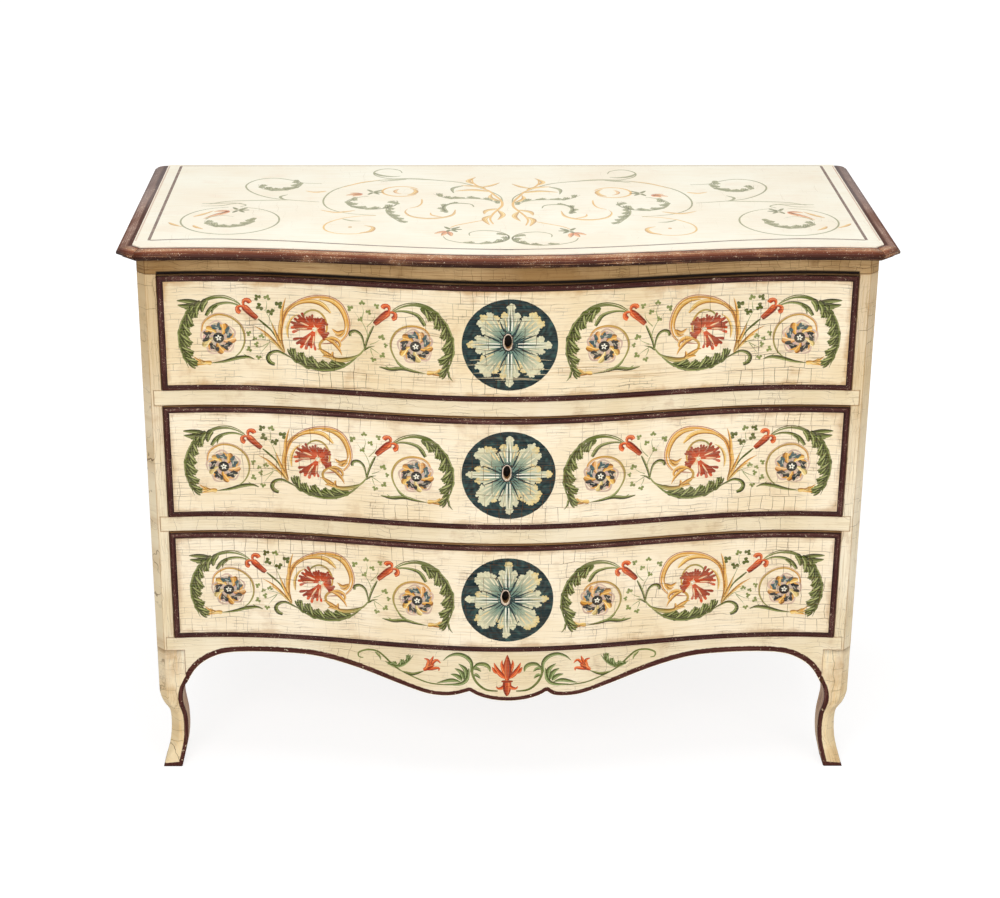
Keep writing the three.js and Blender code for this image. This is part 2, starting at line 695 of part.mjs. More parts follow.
function makeDrawer(drawer) {
  const base = frontBase(drawer);
  const name = (piece) => `drawer_${drawer}_${piece}`;
  add(name("front"), drawerFront(base), creamPaint);
  add(name("bead"), beadFrame(base), plumPaint);
  const low = base + boxBottomLift;
  const side = cut(
    sideToSide(boxSideOutline(base, 0), boxInnerHalf, boxHalf),
    block(
      boxInnerHalf - overrun, boxInnerHalf + grooveDepth, drawerBackPlane - overrun - tailLength, caseBack,
      low - glueLine, low + boxBottomThickness + glueLine,
    ),
  );
  add(name("right_side"), side, bareWood);
  add(name("left_side"), side, bareWood).scale.set(-1, 1, 1);
  const boxBack = backBoardFace - boxBackClearance;
  const back = block(
    glueLine - boxInnerHalf, boxInnerHalf - glueLine, boxBack - boxBackThickness, boxBack,
    low + boxBottomThickness + glueLine, base + boxSideHeight - boxBackDrop,
  );
  add(name("back"), back, bareWood);
  add(name("bottom"), boxBottom(base), bareWood);
  add(name("lock"), lockCase(base), oldIron);
  add(name("lock_bolt"), lockBolt(base), oldIron);
}

makeTopBoard();
makeTopMouldings();
makeRails();
makePosts();
makeSidesAndBack();
makeRunners();
makeFeet();
makeAprons();
for (let drawer = 1; drawer <= drawerCount; drawer++) makeDrawer(drawer);

export default commode;
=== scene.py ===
"""A painted serpentine commode: softened woodwork, crazed paint and hand-painted scrolls round its frame."""

from __future__ import annotations

import json
import logging
import math
import random
from collections.abc import Callable, Iterable, Sequence
from dataclasses import dataclass, field, replace
from enum import Enum
from functools import partial

import bmesh
import bpy
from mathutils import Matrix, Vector

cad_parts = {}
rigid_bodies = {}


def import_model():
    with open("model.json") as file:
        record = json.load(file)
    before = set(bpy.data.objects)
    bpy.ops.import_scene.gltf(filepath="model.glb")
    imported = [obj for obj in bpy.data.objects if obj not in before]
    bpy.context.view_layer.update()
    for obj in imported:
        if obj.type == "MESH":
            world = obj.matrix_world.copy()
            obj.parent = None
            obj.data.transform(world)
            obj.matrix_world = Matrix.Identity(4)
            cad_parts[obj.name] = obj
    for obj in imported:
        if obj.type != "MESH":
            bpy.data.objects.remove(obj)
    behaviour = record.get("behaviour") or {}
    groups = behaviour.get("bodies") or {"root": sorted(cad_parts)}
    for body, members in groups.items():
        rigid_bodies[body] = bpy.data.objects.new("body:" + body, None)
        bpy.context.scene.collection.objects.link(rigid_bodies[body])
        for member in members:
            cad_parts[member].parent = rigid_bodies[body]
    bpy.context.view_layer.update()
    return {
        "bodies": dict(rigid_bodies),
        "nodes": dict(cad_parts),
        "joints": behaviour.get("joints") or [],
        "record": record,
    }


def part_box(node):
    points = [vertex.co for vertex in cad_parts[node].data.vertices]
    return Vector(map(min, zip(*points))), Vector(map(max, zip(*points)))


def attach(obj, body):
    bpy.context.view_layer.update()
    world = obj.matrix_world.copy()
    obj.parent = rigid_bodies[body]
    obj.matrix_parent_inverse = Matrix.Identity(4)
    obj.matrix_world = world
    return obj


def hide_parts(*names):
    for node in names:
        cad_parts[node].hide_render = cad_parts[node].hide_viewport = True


log = logging.getLogger("commode")

MM = 0.001  # metres in a millimetre: sizes here are in millimetres until a mesh is made
CARCASS = "carcass"
DRAWERS = (1, 2, 3)  # 1 is the top drawer
SIDES = ("left", "right")

Point = tuple[float, float]
Line = Sequence[Point] | str  # as text, it is "x,y x,y"
Place = tuple[float, float, float]
Surface = Callable[[float, float, float], Place]
Socket = bpy.types.NodeSocket
Material = bpy.types.Material
AddNode = Callable[..., Socket | None]  # add_node for one tree

# The nodes that are used most, by Blender's names for them
NOISE, ATTRIBUTE, RANGE, MATH, VECTOR = "TexNoise", "Attribute", "MapRange", "Math", "VectorMath"


def linear(colour: str, alpha: float = 1.0) -> tuple[float, float, float, float]:
    """Turns an sRGB hex colour to linear light.

    Args:
        colour: the colour as #RRGGBB.
        alpha: the fourth number of the result.

    Returns:
        Red, green, blue and alpha.
    """
    channels = (int(colour[i : i + 2], 16) / 255 for i in (1, 3, 5))
    red, green, blue = (c / 12.92 if c <= 0.04045 else ((c + 0.055) / 1.055) ** 2.4 for c in channels)
    return red, green, blue, alpha


def add_node(
    tree: bpy.types.NodeTree, kind: str, inputs: dict | Sequence = (), output: int | str | None = 0,
    **settings: object,
) -> Socket | None:
    """Adds a node with its settings, values and links.

    Args:
        tree: the tree that gets the node.
        kind: Blender's name for the type of node, after ShaderNode.
        inputs: what each socket holds, by its name or number, or in order: a value, a colour as #RRGGBB,
            or the output that feeds it.
        output: the output that is wanted. None for a node that has none.
        settings: the node's own properties by name.

    Returns:
        The wanted output.
    """
    node = tree.nodes.new(f"ShaderNode{kind}")
    for key, value in settings.items():
        setattr(node, key, value)
    for key, value in inputs.items() if isinstance(inputs, dict) else enumerate(inputs):
        if isinstance(value, Socket):
            tree.links.new(value, node.inputs[key])
        else:
            node.inputs[key].default_value = linear(value) if isinstance(value, str) else value
    return None if output is None else node.outputs[output]


def blank_tree(owner: Material | bpy.types.World) -> AddNode:
    """Empties the node tree of a material or a world.

    Args:
        owner: the material or the world.

    Returns:
        What adds nodes to it.
    """
    owner.use_nodes = True
    owner.node_tree.nodes.clear()
    return partial(add_node, owner.node_tree)


def lay_coats(add: AddNode, ground: Socket | str, coats: Iterable[tuple[Socket, Socket | str]]) -> Socket:
    """Lays coats of paint over a ground, one after the other.

    Args:
        add: adds a node to the material.
        ground: the colour that is painted over.
        coats: how much each coat hides, from 0 to 1, and its colour.

    Returns:
        The colour that the eye sees.
    """
    for share, coat in coats:
        ground = add("Mix", {0: share, 6: ground, 7: coat}, 2, data_type="RGBA")
    return ground


class Grain(Enum):
    """Which way the wood under the paint runs: the long direction and the one across it."""

    FRONT = ((1, 0, 0), (0, 0, 1))
    TOP = ((1, 0, 0), (0, 1, 0))
    UPRIGHT = ((0, 0, 1), (1, 1, 0))
    DEEP = ((0, 1, 0), (1, 0, 1))
    SWEPT = ()  # along a moulding, where the mesh holds the place


@dataclass(frozen=True)
class Finish:
    """What every finish has: a name, a place to work its pattern out from, and a rough surface."""

    name: str

    def begin(self, grain: Grain, label: str = "") -> tuple[Material, AddNode, Socket, Socket]:
        """Starts the material.

        Args:
            grain: how the wood lies.
            label: what is added to the name.

        Returns:
            The material, what adds its nodes, the place along and across the grain in millimetres, and the
            plain place.
        """
        material = bpy.data.materials.new(self.name + label)
        add = blank_tree(material)
        own = add("TexCoord", output="Object")
        plain = add(VECTOR, {0: own, "Scale": 1 / MM}, operation="SCALE")
        if grain is Grain.SWEPT:
            return material, add, add(ATTRIBUTE, output="Vector", attribute_name="run"), plain
        ways = [add(VECTOR, (plain, axis), "Value", operation="DOT_PRODUCT") for axis in grain.value]
        return material, add, add("CombineXYZ", ways), plain

    def streaked(
        self, add: AddNode, place: Socket, length: float, width: float, detail: float, swirl: float = 0.0,
    ) -> Socket:
        """Makes marks that run with the grain, such as a brush or a plane leaves.

        Args:
            add: adds a node to the material.
            place: the place along and across the grain.
            length, width: the size of a mark.
            detail: how many finer marks lie in it.
            swirl: how far it bends.

        Returns:
            A value from 0 to 1.
        """
        marks = add(VECTOR, (place, (1 / length, 1 / width, 1)), operation="MULTIPLY")
        return add(NOISE, {"Vector": marks, "Scale": 1.0, "Detail": detail, "Distortion": swirl})

    def end(self, add: AddNode, height: Socket, rise: Point, look: dict[str, object]) -> None:
        """Roughens the surface and closes the material.

        Args:
            add: adds a node to the material.
            height: the pattern that stands out.
            rise: how strongly it shows, and how far it stands out in millimetres.
            look: the shader's other inputs by name.
        """
        strength, distance = rise
        bump = add("Bump", {"Height": height, "Strength": strength, "Distance": distance * MM})
        shader = add("BsdfPrincipled", {**look, "Normal": bump})
        add("OutputMaterial", {"Surface": shader}, None)


@dataclass(frozen=True)
class Craquelure:
    """Drying cracks in old paint: long ones with the grain, and short ones that step from one to the next."""

    length: float = 46.0
    rise: float = 11.0
    width: float = 0.42
    wander: float = 13.0
    patch: float = 62.0
    spread: float = 0.5  # share of the surface that has them
    # Three nets of cracks: how much larger each is than the first, and where it starts
    nets: tuple[Point, ...] = ((1.0, 0.0), (0.5, 400.0), (2.3, 900.0))

    def build(self, add: AddNode, place: Socket, plain: Socket) -> Socket:
        """Makes the cracks.

        Args:
            add: adds a node to the material.
            place: the place along and across the grain.
            plain: the plain place.

        Returns:
            A socket that is 1 in a crack and 0 between them.
        """
        drift = add(NOISE, {"Vector": plain, "Scale": 1 / 50, "Detail": 3}, "Color")
        swing = add(VECTOR, (drift, (self.wander * 2,) * 3, place), operation="MULTIPLY_ADD")
        nets = []
        for larger, offset in self.nets:
            moved = add(VECTOR, (swing, (offset,) * 3), operation="ADD")
            unit = self.rise * larger
            brick = {
                "Vector": add(VECTOR, {0: moved, "Scale": 1 / unit}, operation="SCALE"),
                "Scale": 1.0, "Mortar Size": self.width * larger**0.3 / unit / 2, "Mortar Smooth": 0.4,
                "Brick Width": self.length / self.rise / max(1.0, larger) ** 2, "Row Height": 1.0,
            }
            net = add("TexBrick", brick, "Fac", offset=0.37, squash=0.6, squash_frequency=3)
            where = add(NOISE, {"Vector": moved, "Scale": 1 / self.patch / larger, "Detail": 2})
            low = 0.62 - 0.25 * self.spread + (0.09 if offset else 0.0)
            shown = add(RANGE, (where, low - 0.05, low + 0.07))
            nets.append(add(MATH, (net, shown), operation="MULTIPLY"))
        fine = add(MATH, nets[:2], operation="MAXIMUM")
        depth = add(NOISE, {"Vector": place, "Scale": 1 / 38, "Detail": 3})
        strength = add(RANGE, (depth, 0.44, 0.66, 0.18))
        drawn = add(MATH, (fine, strength), operation="MULTIPLY")
        return add(MATH, (drawn, nets[2]), operation="MAXIMUM")


@dataclass(frozen=True)
class CrazedPaint(Finish):
    """Old cream oil paint on softwood, brushed on and crazed: satin, with brown cracks and tan stains.

    Where the mesh's plum attribute passes a half, a plum stripe is painted over the cream.
    """

    light: str
    shade: str
    stain: str = "#B08350"
    crack: str = "#5B4024"
    streak: str = "#C9AE79"
    streak_share: float = 0.35
    stain_share: float = 0.5
    crack_share: float = 0.8
    dry_share: float = 0.14  # how much of the ground shows through where the brush ran dry
    roughness: float = 0.55
    craquelure: Craquelure = Craquelure()
    brush_width: float = 1.9  # a bristle mark, as coarse as the picture needs to show it
    brush_length: float = 85.0
    stripe: str = "#44211C"
    stripe_rubbed: str = "#7A5148"
    # The colour of a painted shadow band: near black, painted shade of the gap beneath a rail
    grime: str = "#150C07"
    grime_below: float = 0.0  # a near-black painted shadow band lies up to this height, in millimetres, between the posts
    grime_half: float = 541.5
    tanned: tuple[float, ...] = ()  # from one height to another it is tanned up to this share
    blush: str = "#A9807A"  # thin plum, where the mesh's blush attribute is 1

    def build(self, grain: Grain, pigment: str | None = None) -> Material:
        """Makes the material.

        Args:
            grain: how the wood under the paint lies.
            pigment: the colour attribute of what is painted over the ground, with its cover as alpha.

        Returns:
            The material.
        """
        label = f" {grain.name.lower()}{' ornament' if pigment else ''}"
        material, add, place, plain = self.begin(grain, label)
        streaks = self.streaked(add, place, self.brush_length, self.brush_width, 3)
        blotch = add(NOISE, {"Vector": place, "Scale": 1 / 46, "Detail": 5, "Roughness": 0.62})
        colour = self.striped(add, self.ground(add, plain, streaks, blotch), plain, streaks)
        cracks = self.craquelure.build(add, place, plain)
        coats = [(add(MATH, (cracks, self.crack_share), operation="MULTIPLY"), self.crack)]
        if pigment:
            paint = add(ATTRIBUTE, attribute_name=pigment)
            dry = add(RANGE, (streaks, 0.4, 0.75, 1.0, 1 - self.dry_share))
            cover = add(MATH, (paint.node.outputs["Alpha"], dry), operation="MULTIPLY")
            coats.insert(0, (cover, paint))
        gloss = add(RANGE, (blotch, 0, 1, self.roughness - 0.08, self.roughness + 0.1))
        height = add(MATH, (cracks, -1.0, streaks), operation="MULTIPLY_ADD")
        look = {"Base Color": lay_coats(add, colour, coats), "Roughness": gloss, "Specular IOR Level": 0.08}
        self.end(add, height, (0.6, 0.3), look)
        return material

    def ground(self, add: AddNode, plain: Socket, streaks: Socket, blotch: Socket) -> Socket:
        """Makes the cream, its brush marks, its stains on worn edges, which are also painted shade on a drawer
        field's rim, and any painted shadow band.

        Args:
            add: adds a node to the material.
            plain: the plain place.
            streaks: the brush marks.
            blotch: the cloudy pattern of the stains.

        Returns:
            The colour.
        """
        mottle = add(NOISE, {"Vector": plain, "Scale": 1 / 130, "Detail": 4})
        # Stain gathers where the mesh is marked worn; on a drawer field's rim it is also painted shade beside
        # the bead
        worn = add(ATTRIBUTE, output="Fac", attribute_name="worn")
        grubby_and_shaded = add(MATH, (worn, 0.25, blotch), operation="MULTIPLY_ADD")
        coats = [
            (add(RANGE, (mottle, 0.36, 0.64)), self.shade),
            (add(RANGE, (streaks, 0.48, 0.72, 0, self.streak_share)), self.streak),
            (add(RANGE, (grubby_and_shaded, 0.56, 0.8, 0, self.stain_share)), self.stain),
        ]
        across = add("SeparateXYZ", (plain,), "X")
        height = across.node.outputs["Z"]
        if self.tanned:
            low, high, most = self.tanned
            coats.append((add(RANGE, (height, low, high, 0, most)), self.streak))
        # A near-black band painted low on the piece between the posts: painted shade of the shadowed gap
        # beneath it
        if self.grime_below:
            aside = add(MATH, (across,), operation="ABSOLUTE")
            between = add(RANGE, (aside, self.grime_half + 1, self.grime_half - 1))
            low = add(RANGE, (height, self.grime_below + 1.2, self.grime_below - 1.2))
            coats.append((add(MATH, (between, low), operation="MULTIPLY"), self.grime))
        return lay_coats(add, self.light, coats)

    def striped(self, add: AddNode, ground: Socket, plain: Socket, streaks: Socket) -> Socket:
        """Paints the plum stripe, rubbed in places and drawn by hand, and the thin plum beside it.

        Args:
            add: adds a node to the material.
            ground: the colour that is painted over.
            plain: the plain place.
            streaks: the brush marks.

        Returns:
            The colour.
        """
        thin = add(ATTRIBUTE, output="Fac", attribute_name="blush")
        dry = add(RANGE, (streaks, 0.35, 0.6, 1.0, 0.25))
        ground = lay_coats(add, ground, [(add(MATH, (thin, dry), operation="MULTIPLY"), self.blush)])
        edge = add(ATTRIBUTE, output="Fac", attribute_name="plum")
        shake = add(NOISE, {"Vector": plain, "Scale": 1 / 5, "Detail": 3})
        ragged = add(MATH, (shake, 0.16, edge), operation="MULTIPLY_ADD")
        plum = lay_coats(add, self.stripe, [
            (add(RANGE, (streaks, 0.5, 0.75, 0, 0.8)), self.stripe_rubbed),
            (add(RANGE, (shake, 0.66, 0.7, 0, 0.8)), ground),
        ])
        return lay_coats(add, ground, [(add(RANGE, (ragged, 0.55, 0.6)), plum)])


@dataclass(frozen=True)
class RubbedPaint(Finish):
    """Plum-brown oil paint rubbed through along the edges: satin, with paler streaks and pale chips.

    Attributes:
        bands: how far across the moulding a tone sits, in millimetres, and the tone; some tones are painted
            shade in hollows and painted highlight on crests.
        rubbed: the colour where it is thin.
        chip: the ground that shows where it has flaked off.
        rubbed_share: share of the surface that is rubbed thin.
        rubbed_from, rubbed_to: the stretch across the moulding that wears most.
        chip_share: share of the surface that has flaked.
        roughness: its roughness.
        streak_width, streak_length: the size of a brush mark.
    """

    bands: tuple[tuple[float, str], ...]
    rubbed: str
    chip: str = "#D9C2A6"
    rubbed_share: float = 0.5
    rubbed_from: float = 3.0
    rubbed_to: float = 9.0
    chip_share: float = 0.5
    roughness: float = 0.4
    streak_width: float = 1.3
    streak_length: float = 60.0

    def build(self) -> Material:
        """Makes the material for a swept piece.

        Returns:
            The material.
        """
        material, add, place, plain = self.begin(Grain.SWEPT)
        across = add("SeparateXYZ", (place,), "Y")
        streaks = self.streaked(add, place, self.streak_length, self.streak_width, 4)
        cloud = add(NOISE, {"Vector": plain, "Scale": 1 / 55, "Detail": 4, "Roughness": 0.6})
        middle, half = (self.rubbed_from + self.rubbed_to) / 2, (self.rubbed_to - self.rubbed_from) / 2
        crest = add(MATH, (across, middle), operation="SUBTRACT")
        away = add(MATH, (crest,), operation="ABSOLUTE")
        near = add(RANGE, (away, half, half * 0.4, -0.18, 0.05))
        both = add(MATH, (cloud, 0.8, streaks), operation="MULTIPLY_ADD")
        thin = add(MATH, (both, near), operation="ADD")
        low = 1.06 - 0.34 * self.rubbed_share
        share = add(RANGE, (thin, low - 0.1, low + 0.14, 0, 0.92))
        flake = {"Vector": plain, "Scale": 1 / 2.6, "Detail": 3, "Roughness": 0.7, "Distortion": 0.8}
        spotted = add(MATH, (thin, 0.35, add(NOISE, flake)), operation="MULTIPLY_ADD")
        bare = 1.02 - 0.12 * self.chip_share
        chips = add(RANGE, (spotted, bare, bare + 0.02))
        colour = lay_coats(add, self.tones(add, across, streaks), [(share, self.rubbed), (chips, self.chip)])
        height = add(MATH, (chips, -1.0, streaks), operation="MULTIPLY_ADD")
        gloss = add(RANGE, (streaks, 0, 1, self.roughness - 0.1, self.roughness + 0.14))
        looks = {"Base Color": colour, "Roughness": gloss, "Specular IOR Level": 0.12}
        self.end(add, height, (0.6, 0.3), looks)
        return material

    def tones(self, add: AddNode, across: Socket, streaks: Socket) -> Socket:
        """Lays the tones across the moulding, with a wavering border between them.

        Args:
            add: adds a node to the material.
            across: the place across the moulding.
            streaks: the brush marks.

        Returns:
            The colour.
        """
        width = self.bands[-1][0]
        waver = add(MATH, (streaks, 1.6, across), operation="MULTIPLY_ADD")
        ramp = add("ValToRGB", (add(RANGE, (waver, 0.8, width + 0.8)),))
        stops = ramp.node.color_ramp.elements
        for stop, (_, colour) in zip((stops[0], stops[-1]), (self.bands[0], self.bands[-1])):
            stop.color = linear(colour)
        for at, colour in self.bands[1:-1]:
            stops.new(at / width).color = linear(colour)
        return ramp


@dataclass(frozen=True)
class OldSoftwood(Finish):
    """Unpainted pine, sawn and planed by hand, browned by age: matt, with darker growth lines."""

    early: str
    late: str
    dirt: str = "#6B4B2C"
    ring: float = 4.2  # from one growth line to the next
    ring_length: float = 240.0
    roughness: float = 0.72

    def build(self, grain: Grain) -> Material:
        """Makes the material.

        Args:
            grain: how the board lies.

        Returns:
            The material.
        """
        material, add, place, plain = self.begin(grain, f" {grain.name.lower()}")
        lines = self.streaked(add, place, self.ring_length, self.ring, 5, 0.4)
        cloud = add(NOISE, {"Vector": plain, "Scale": 1 / 160, "Detail": 3})
        colour = lay_coats(add, self.early, [
            (add(RANGE, (lines, 0.4, 0.68)), self.late),
            (add(RANGE, (cloud, 0.45, 0.75, 0, 0.45)), self.dirt),
        ])
        self.end(add, lines, (0.4, 0.3), {"Base Color": colour, "Roughness": self.roughness})
        return material


@dataclass(frozen=True)
class BlackIron(Finish):
    """Forged iron of an old lock: dark grey and dull, with brown rust in patches."""

    metal: str
    rust: str
    patch: float = 9.0

    def build(self) -> Material:
        """Makes the material.

        Returns:
            The material.
        """
        material, add, _, plain = self.begin(Grain.FRONT)
        cloud = add(NOISE, {"Vector": plain, "Scale": 1 / self.patch, "Detail": 5})
        rusty = add(RANGE, (cloud, 0.5, 0.62))
        self.end(add, cloud, (0.5, 0.4), {
            "Base Color": lay_coats(add, self.metal, [(rusty, self.rust)]),
            "Metallic": add(RANGE, (rusty, 0, 1, 0.95, 0.1)),
            "Roughness": add(RANGE, (cloud, 0, 1, 0.35, 0.8)),
        })
        return material


# Oil paint on pine, yellowed by its varnish: pale cream with a warm cast
CASE_CREAM = CrazedPaint(
    "crazed cream oil paint", light="#F3E5C8", shade="#E8D5B0", streak_share=0.4, crack="#6B4A28",
    craquelure=Craquelure(length=80, rise=9, width=0.5, spread=0.6),
)
# Under the top it is browned by hands and smoke and darkened further as painted shade of the top's overhang,
# with a near-black painted shadow along its foot
FRIEZE_CREAM = CrazedPaint(
    "browned cream oil paint", light="#BC9C6F", shade="#9A774A", stain="#6C4826", streak="#744E2A",
    streak_share=0.65, stain_share=0.8, crack="#24140A", grime_below=870.0,
    craquelure=Craquelure(length=60, rise=7, width=0.5, spread=0.8),
)
# Posts and feet have upright cracks and brown arrises
POST_CREAM = CrazedPaint(
    "crazed cream oil paint on the posts", light="#F4E7CC", shade="#E8D6B2", streak="#BA935A",
    streak_share=0.5, stain_share=0.6, tanned=(480.0, 880.0, 0.55),
    craquelure=Craquelure(length=85, rise=8, width=0.55, spread=0.75),
)
FOOT_CREAM = replace(
    POST_CREAM, name="crazed cream oil paint on the feet", streak="#EFCC8C", tanned=(215.0, 120.0, 0.35),
)
# The drawer fronts are a shade lighter and crazed all over
FIELD_CREAM = CrazedPaint(
    "drawer field cream oil paint", light="#F9EBD1", shade="#EFDCB9", streak="#D6B885", streak_share=0.45,
    crack="#5F3A18", crack_share=0.95, dry_share=0.2,
    craquelure=Craquelure(length=70, rise=10.5, width=0.6, wander=6.0, spread=0.7),
)
# The top drawer has been handled most, and its varnish has turned tan
HANDLED_CREAM = replace(
    FIELD_CREAM, name="handled drawer cream oil paint", light="#F6E7CA", shade="#EAD5AE", streak="#C9A673",
    stain="#B98A50", stain_share=0.65, crack="#3F2410", crack_share=1.0,
)
# The top is bleached by the light and nearly white
TOP_CREAM = CrazedPaint(
    "bleached cream oil paint", light="#F4F0E0", shade="#F1E8D5", stain="#E9CDB6", streak="#E6D6B0",
    streak_share=0.35, stain_share=0.3, crack="#A58C66", crack_share=0.5, dry_share=0.35,
    craquelure=Craquelure(length=110, rise=26, spread=0.4),
)
# A near-black band over the outer edge and the small roll, painted shade of the gap round the drawer, then
# plum with a worn violet crest that is partly a painted highlight
BEAD_PLUM = RubbedPaint(
    "plum oil paint on the beads", ((0.0, "#170B08"), (3.4, "#24110D"), (4.6, "#48221B"), (12.0, "#43201B"),
                                    (16.0, "#2E1513")),
    rubbed="#785048", rubbed_from=5.5, rubbed_to=11.5, rubbed_share=0.5, chip_share=0.75, streak_width=1.0,
)
# Plum at the board, darkest at its step as painted shade; a crest rubbed to orange brown; a band below the
# quirk lightened as a painted highlight; and the quirk and the lower half darkening towards the cove as
# painted shade
EDGE_BROWN = RubbedPaint(
    "rubbed brown oil paint on the edge",
    ((0.0, "#3A2019"), (2.5, "#6B4234"), (8.0, "#7E4E38"), (11.5, "#3A1A10"), (13.0, "#3A1A10"),
     (15.5, "#8A5236"), (19.0, "#6E3A24"), (24.0, "#4E2516"), (30.0, "#34180E"), (66.0, "#241009")),
    rubbed="#B98560", rubbed_from=3.0, rubbed_to=19.0, rubbed_share=0.55, chip_share=0.9, streak_length=130.0,
    streak_width=1.6,
)
# Greyed plum: darker beside the board and towards the cove as painted shade, lighter on the crest as rubbed
# wear and painted highlight
SIDE_EDGE_PLUM = RubbedPaint(
    "greyed plum oil paint on the side edges",
    ((0.0, "#5C3E34"), (5.0, "#462A22"), (9.0, "#7A5A4C"), (20.0, "#684538"), (30.0, "#43261E"),
     (66.0, "#331A14")),
    rubbed="#92766A", rubbed_from=4.0, rubbed_to=24.0, streak_length=110.0, streak_width=1.8,
)
PINE = OldSoftwood("aged pine", early="#B98F5E", late="#8E6238")
LOCK_IRON = BlackIron("old lock iron", metal="#3A3734", rust="#4A2F20")

# Degrees between two faces: below the first they are one face, and above the second they meet in an arris
FLAT_BELOW, ARRIS_ABOVE = 0.25, 28


@dataclass(frozen=True)
class Bow:
    """A serpentine line in plan: it swells in the middle, dips on either side and ends on its plane."""

    plane: float
    reach: float
    swell: float
    hollow_share: float = 0.85  # where the dip is deepest, as a share of the way to the end

    def stand_out(self, x: float) -> float:
        """Finds how far the line stands in front of its plane.

        Args:
            x: the place across.

        Returns:
            The distance.
        """
        if abs(x) >= self.reach:
            return 0.0
        turn = math.pi / self.hollow_share
        hollow = self.swell * (1 + math.cos(turn)) / (1 - math.cos(turn))
        return (self.swell + hollow) / 2 * (1 + math.cos(turn * x / self.reach)) - hollow

    def at(self, x: float) -> float:
        """The line's y at x."""
        return self.plane - self.stand_out(x)

    def surface(self, base: float) -> Surface:
        """The upright surface on this line, as places across it and up from base, and a height off it."""
        return lambda x, z, lift: (x, self.at(x) - lift, base + z)


def make_piece(
    name: str, body: str, mesh: bmesh.types.BMesh, material: Material,
    stands_for: Iterable[str] = (),
) -> bpy.types.Object:
    """Turns a mesh in millimetres into a piece that rides on a body.

    Args:
        name: the piece's name.
        body: the body that carries it.
        mesh: its mesh, which is freed.
        material: its finish.
        stands_for: the nodes that it replaces.

    Returns:
        The piece.
    """
    data = bpy.data.meshes.new(name)
    bmesh.ops.scale(mesh, vec=(MM,) * 3, verts=mesh.verts)
    mesh.to_mesh(data)
    mesh.free()
    piece = bpy.data.objects.new(name, data)
    bpy.context.scene.collection.objects.link(piece)
    data.materials.append(material)
    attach(piece, body)
    if stands_for:
        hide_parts(*stands_for)
    return piece


def shade_evenly(piece: bpy.types.Object, weight: int) -> None:
    """Shades flat faces flat and rounds only the edges between them, the more so the higher the weight."""
    piece.modifiers.new("even shading", "WEIGHTED_NORMAL").weight = weight


def soften(frame: dict, node: str, material: Material, radius: float = 0.9) -> bpy.types.Object:
    """Gives a node of the carcass the slightly rounded, worn edges of planed wood.

    Args:
        frame: the loaded frame.
        node: the node that the new piece stands for.
        material: its finish.
        radius: how far the edges are rounded.

    Returns:
        The piece, whose worn attribute is 1 on the rounded edges.
    """
    mesh = bmesh.new()
    mesh.from_mesh(frame["nodes"][node].data)
    bmesh.ops.remove_doubles(mesh, verts=mesh.verts, dist=1e-6)
    bmesh.ops.dissolve_limit(mesh, angle_limit=math.radians(FLAT_BELOW), verts=mesh.verts, edges=mesh.edges)
    arrises = [e for e in mesh.edges if e.is_manifold and e.calc_face_angle() > math.radians(ARRIS_ABOVE)]
    rounded = bmesh.ops.bevel(
        mesh, geom=arrises, offset=radius * MM, offset_type="OFFSET", segments=2, profile=0.5, affect="EDGES",
        clamp_overlap=True,
    )
    worn = mesh.loops.layers.float.new("worn")
    for face in rounded["faces"]:
        for loop in face.loops:
            loop[worn] = 1.0
    for face in mesh.faces:
        face.smooth = True
    bmesh.ops.scale(mesh, vec=(1 / MM,) * 3, verts=mesh.verts)
    piece = make_piece(f"soft_{node}", CARCASS, mesh, material, [node])
    shade_evenly(piece, 100)
    return piece


def dress(frame: dict, nodes: Iterable[str], material: Material) -> None:
    """Gives nodes that keep their own mesh a finish.

    Args:
        frame: the loaded frame.
        nodes: their names.
        material: the finish.
    """
    for node in nodes:
        target = frame["nodes"][node]
        if not target.material_slots:
            target.data.materials.append(material)
        target.material_slots[0].material = material


def join_rows(
    mesh: bmesh.types.BMesh, rows: Sequence[Sequence[bmesh.types.BMVert]], closed: bool = False,
) -> None:
    """Joins each row of points to the next with smooth faces.

    Args:
        mesh: their mesh.
        rows: the rows, each with as many points.
        closed: whether a row's last point joins its first.
    """
    for here, following in zip(rows, rows[1:]):
        for k in range(len(here) - (not closed)):
            j = (k + 1) % len(here)
            mesh.faces.new((here[k], here[j], following[j], following[k])).smooth = True


def sweep(rings: Sequence[Sequence[Place]], closed: bool) -> bmesh.types.BMesh:
    """Skins rings of points.

    Args:
        rings: the rings, each with as many points, in order round a closed section.
        closed: whether the last ring joins the first. Otherwise the ends are capped.

    Returns:
        The mesh, smooth along the run, with the place along and across the run as its run attribute.
    """
    mesh = bmesh.new()
    rows = [[mesh.verts.new(point) for point in ring] for ring in rings]
    across, along = [0.0], [0.0]
    for a, b in zip(rings[0], [*rings[0][1:], rings[0][0]]):
        across.append(across[-1] + math.dist(a, b))
    for a, b in zip(rings, [*rings[1:], rings[0]]):
        along.append(along[-1] + math.dist(a[len(a) // 2], b[len(b) // 2]))
    places = {}
    for k, (here, following) in enumerate(zip(rows, rows[1:] + rows[:1] if closed else rows[1:])):
        for i, vertex in enumerate(here):
            j = (i + 1) % len(here)
            face = mesh.faces.new((vertex, here[j], following[j], following[i]))
            face.smooth = True
            near, far = (along[k], across[i]), (along[k + 1], across[i + 1])
            places[face] = dict(zip(face.verts, (near, (near[0], far[1]), far, (far[0], near[1]))))
    if not closed:
        mesh.faces.new(rows[0][::-1])
        mesh.faces.new(rows[-1])
    bmesh.ops.recalc_face_normals(mesh, faces=mesh.faces)
    run = mesh.loops.layers.float_vector.new("run")
    for face, corners in places.items():
        for loop in face.loops:
            loop[run] = (*corners[loop.vert], 0.0)
    return mesh


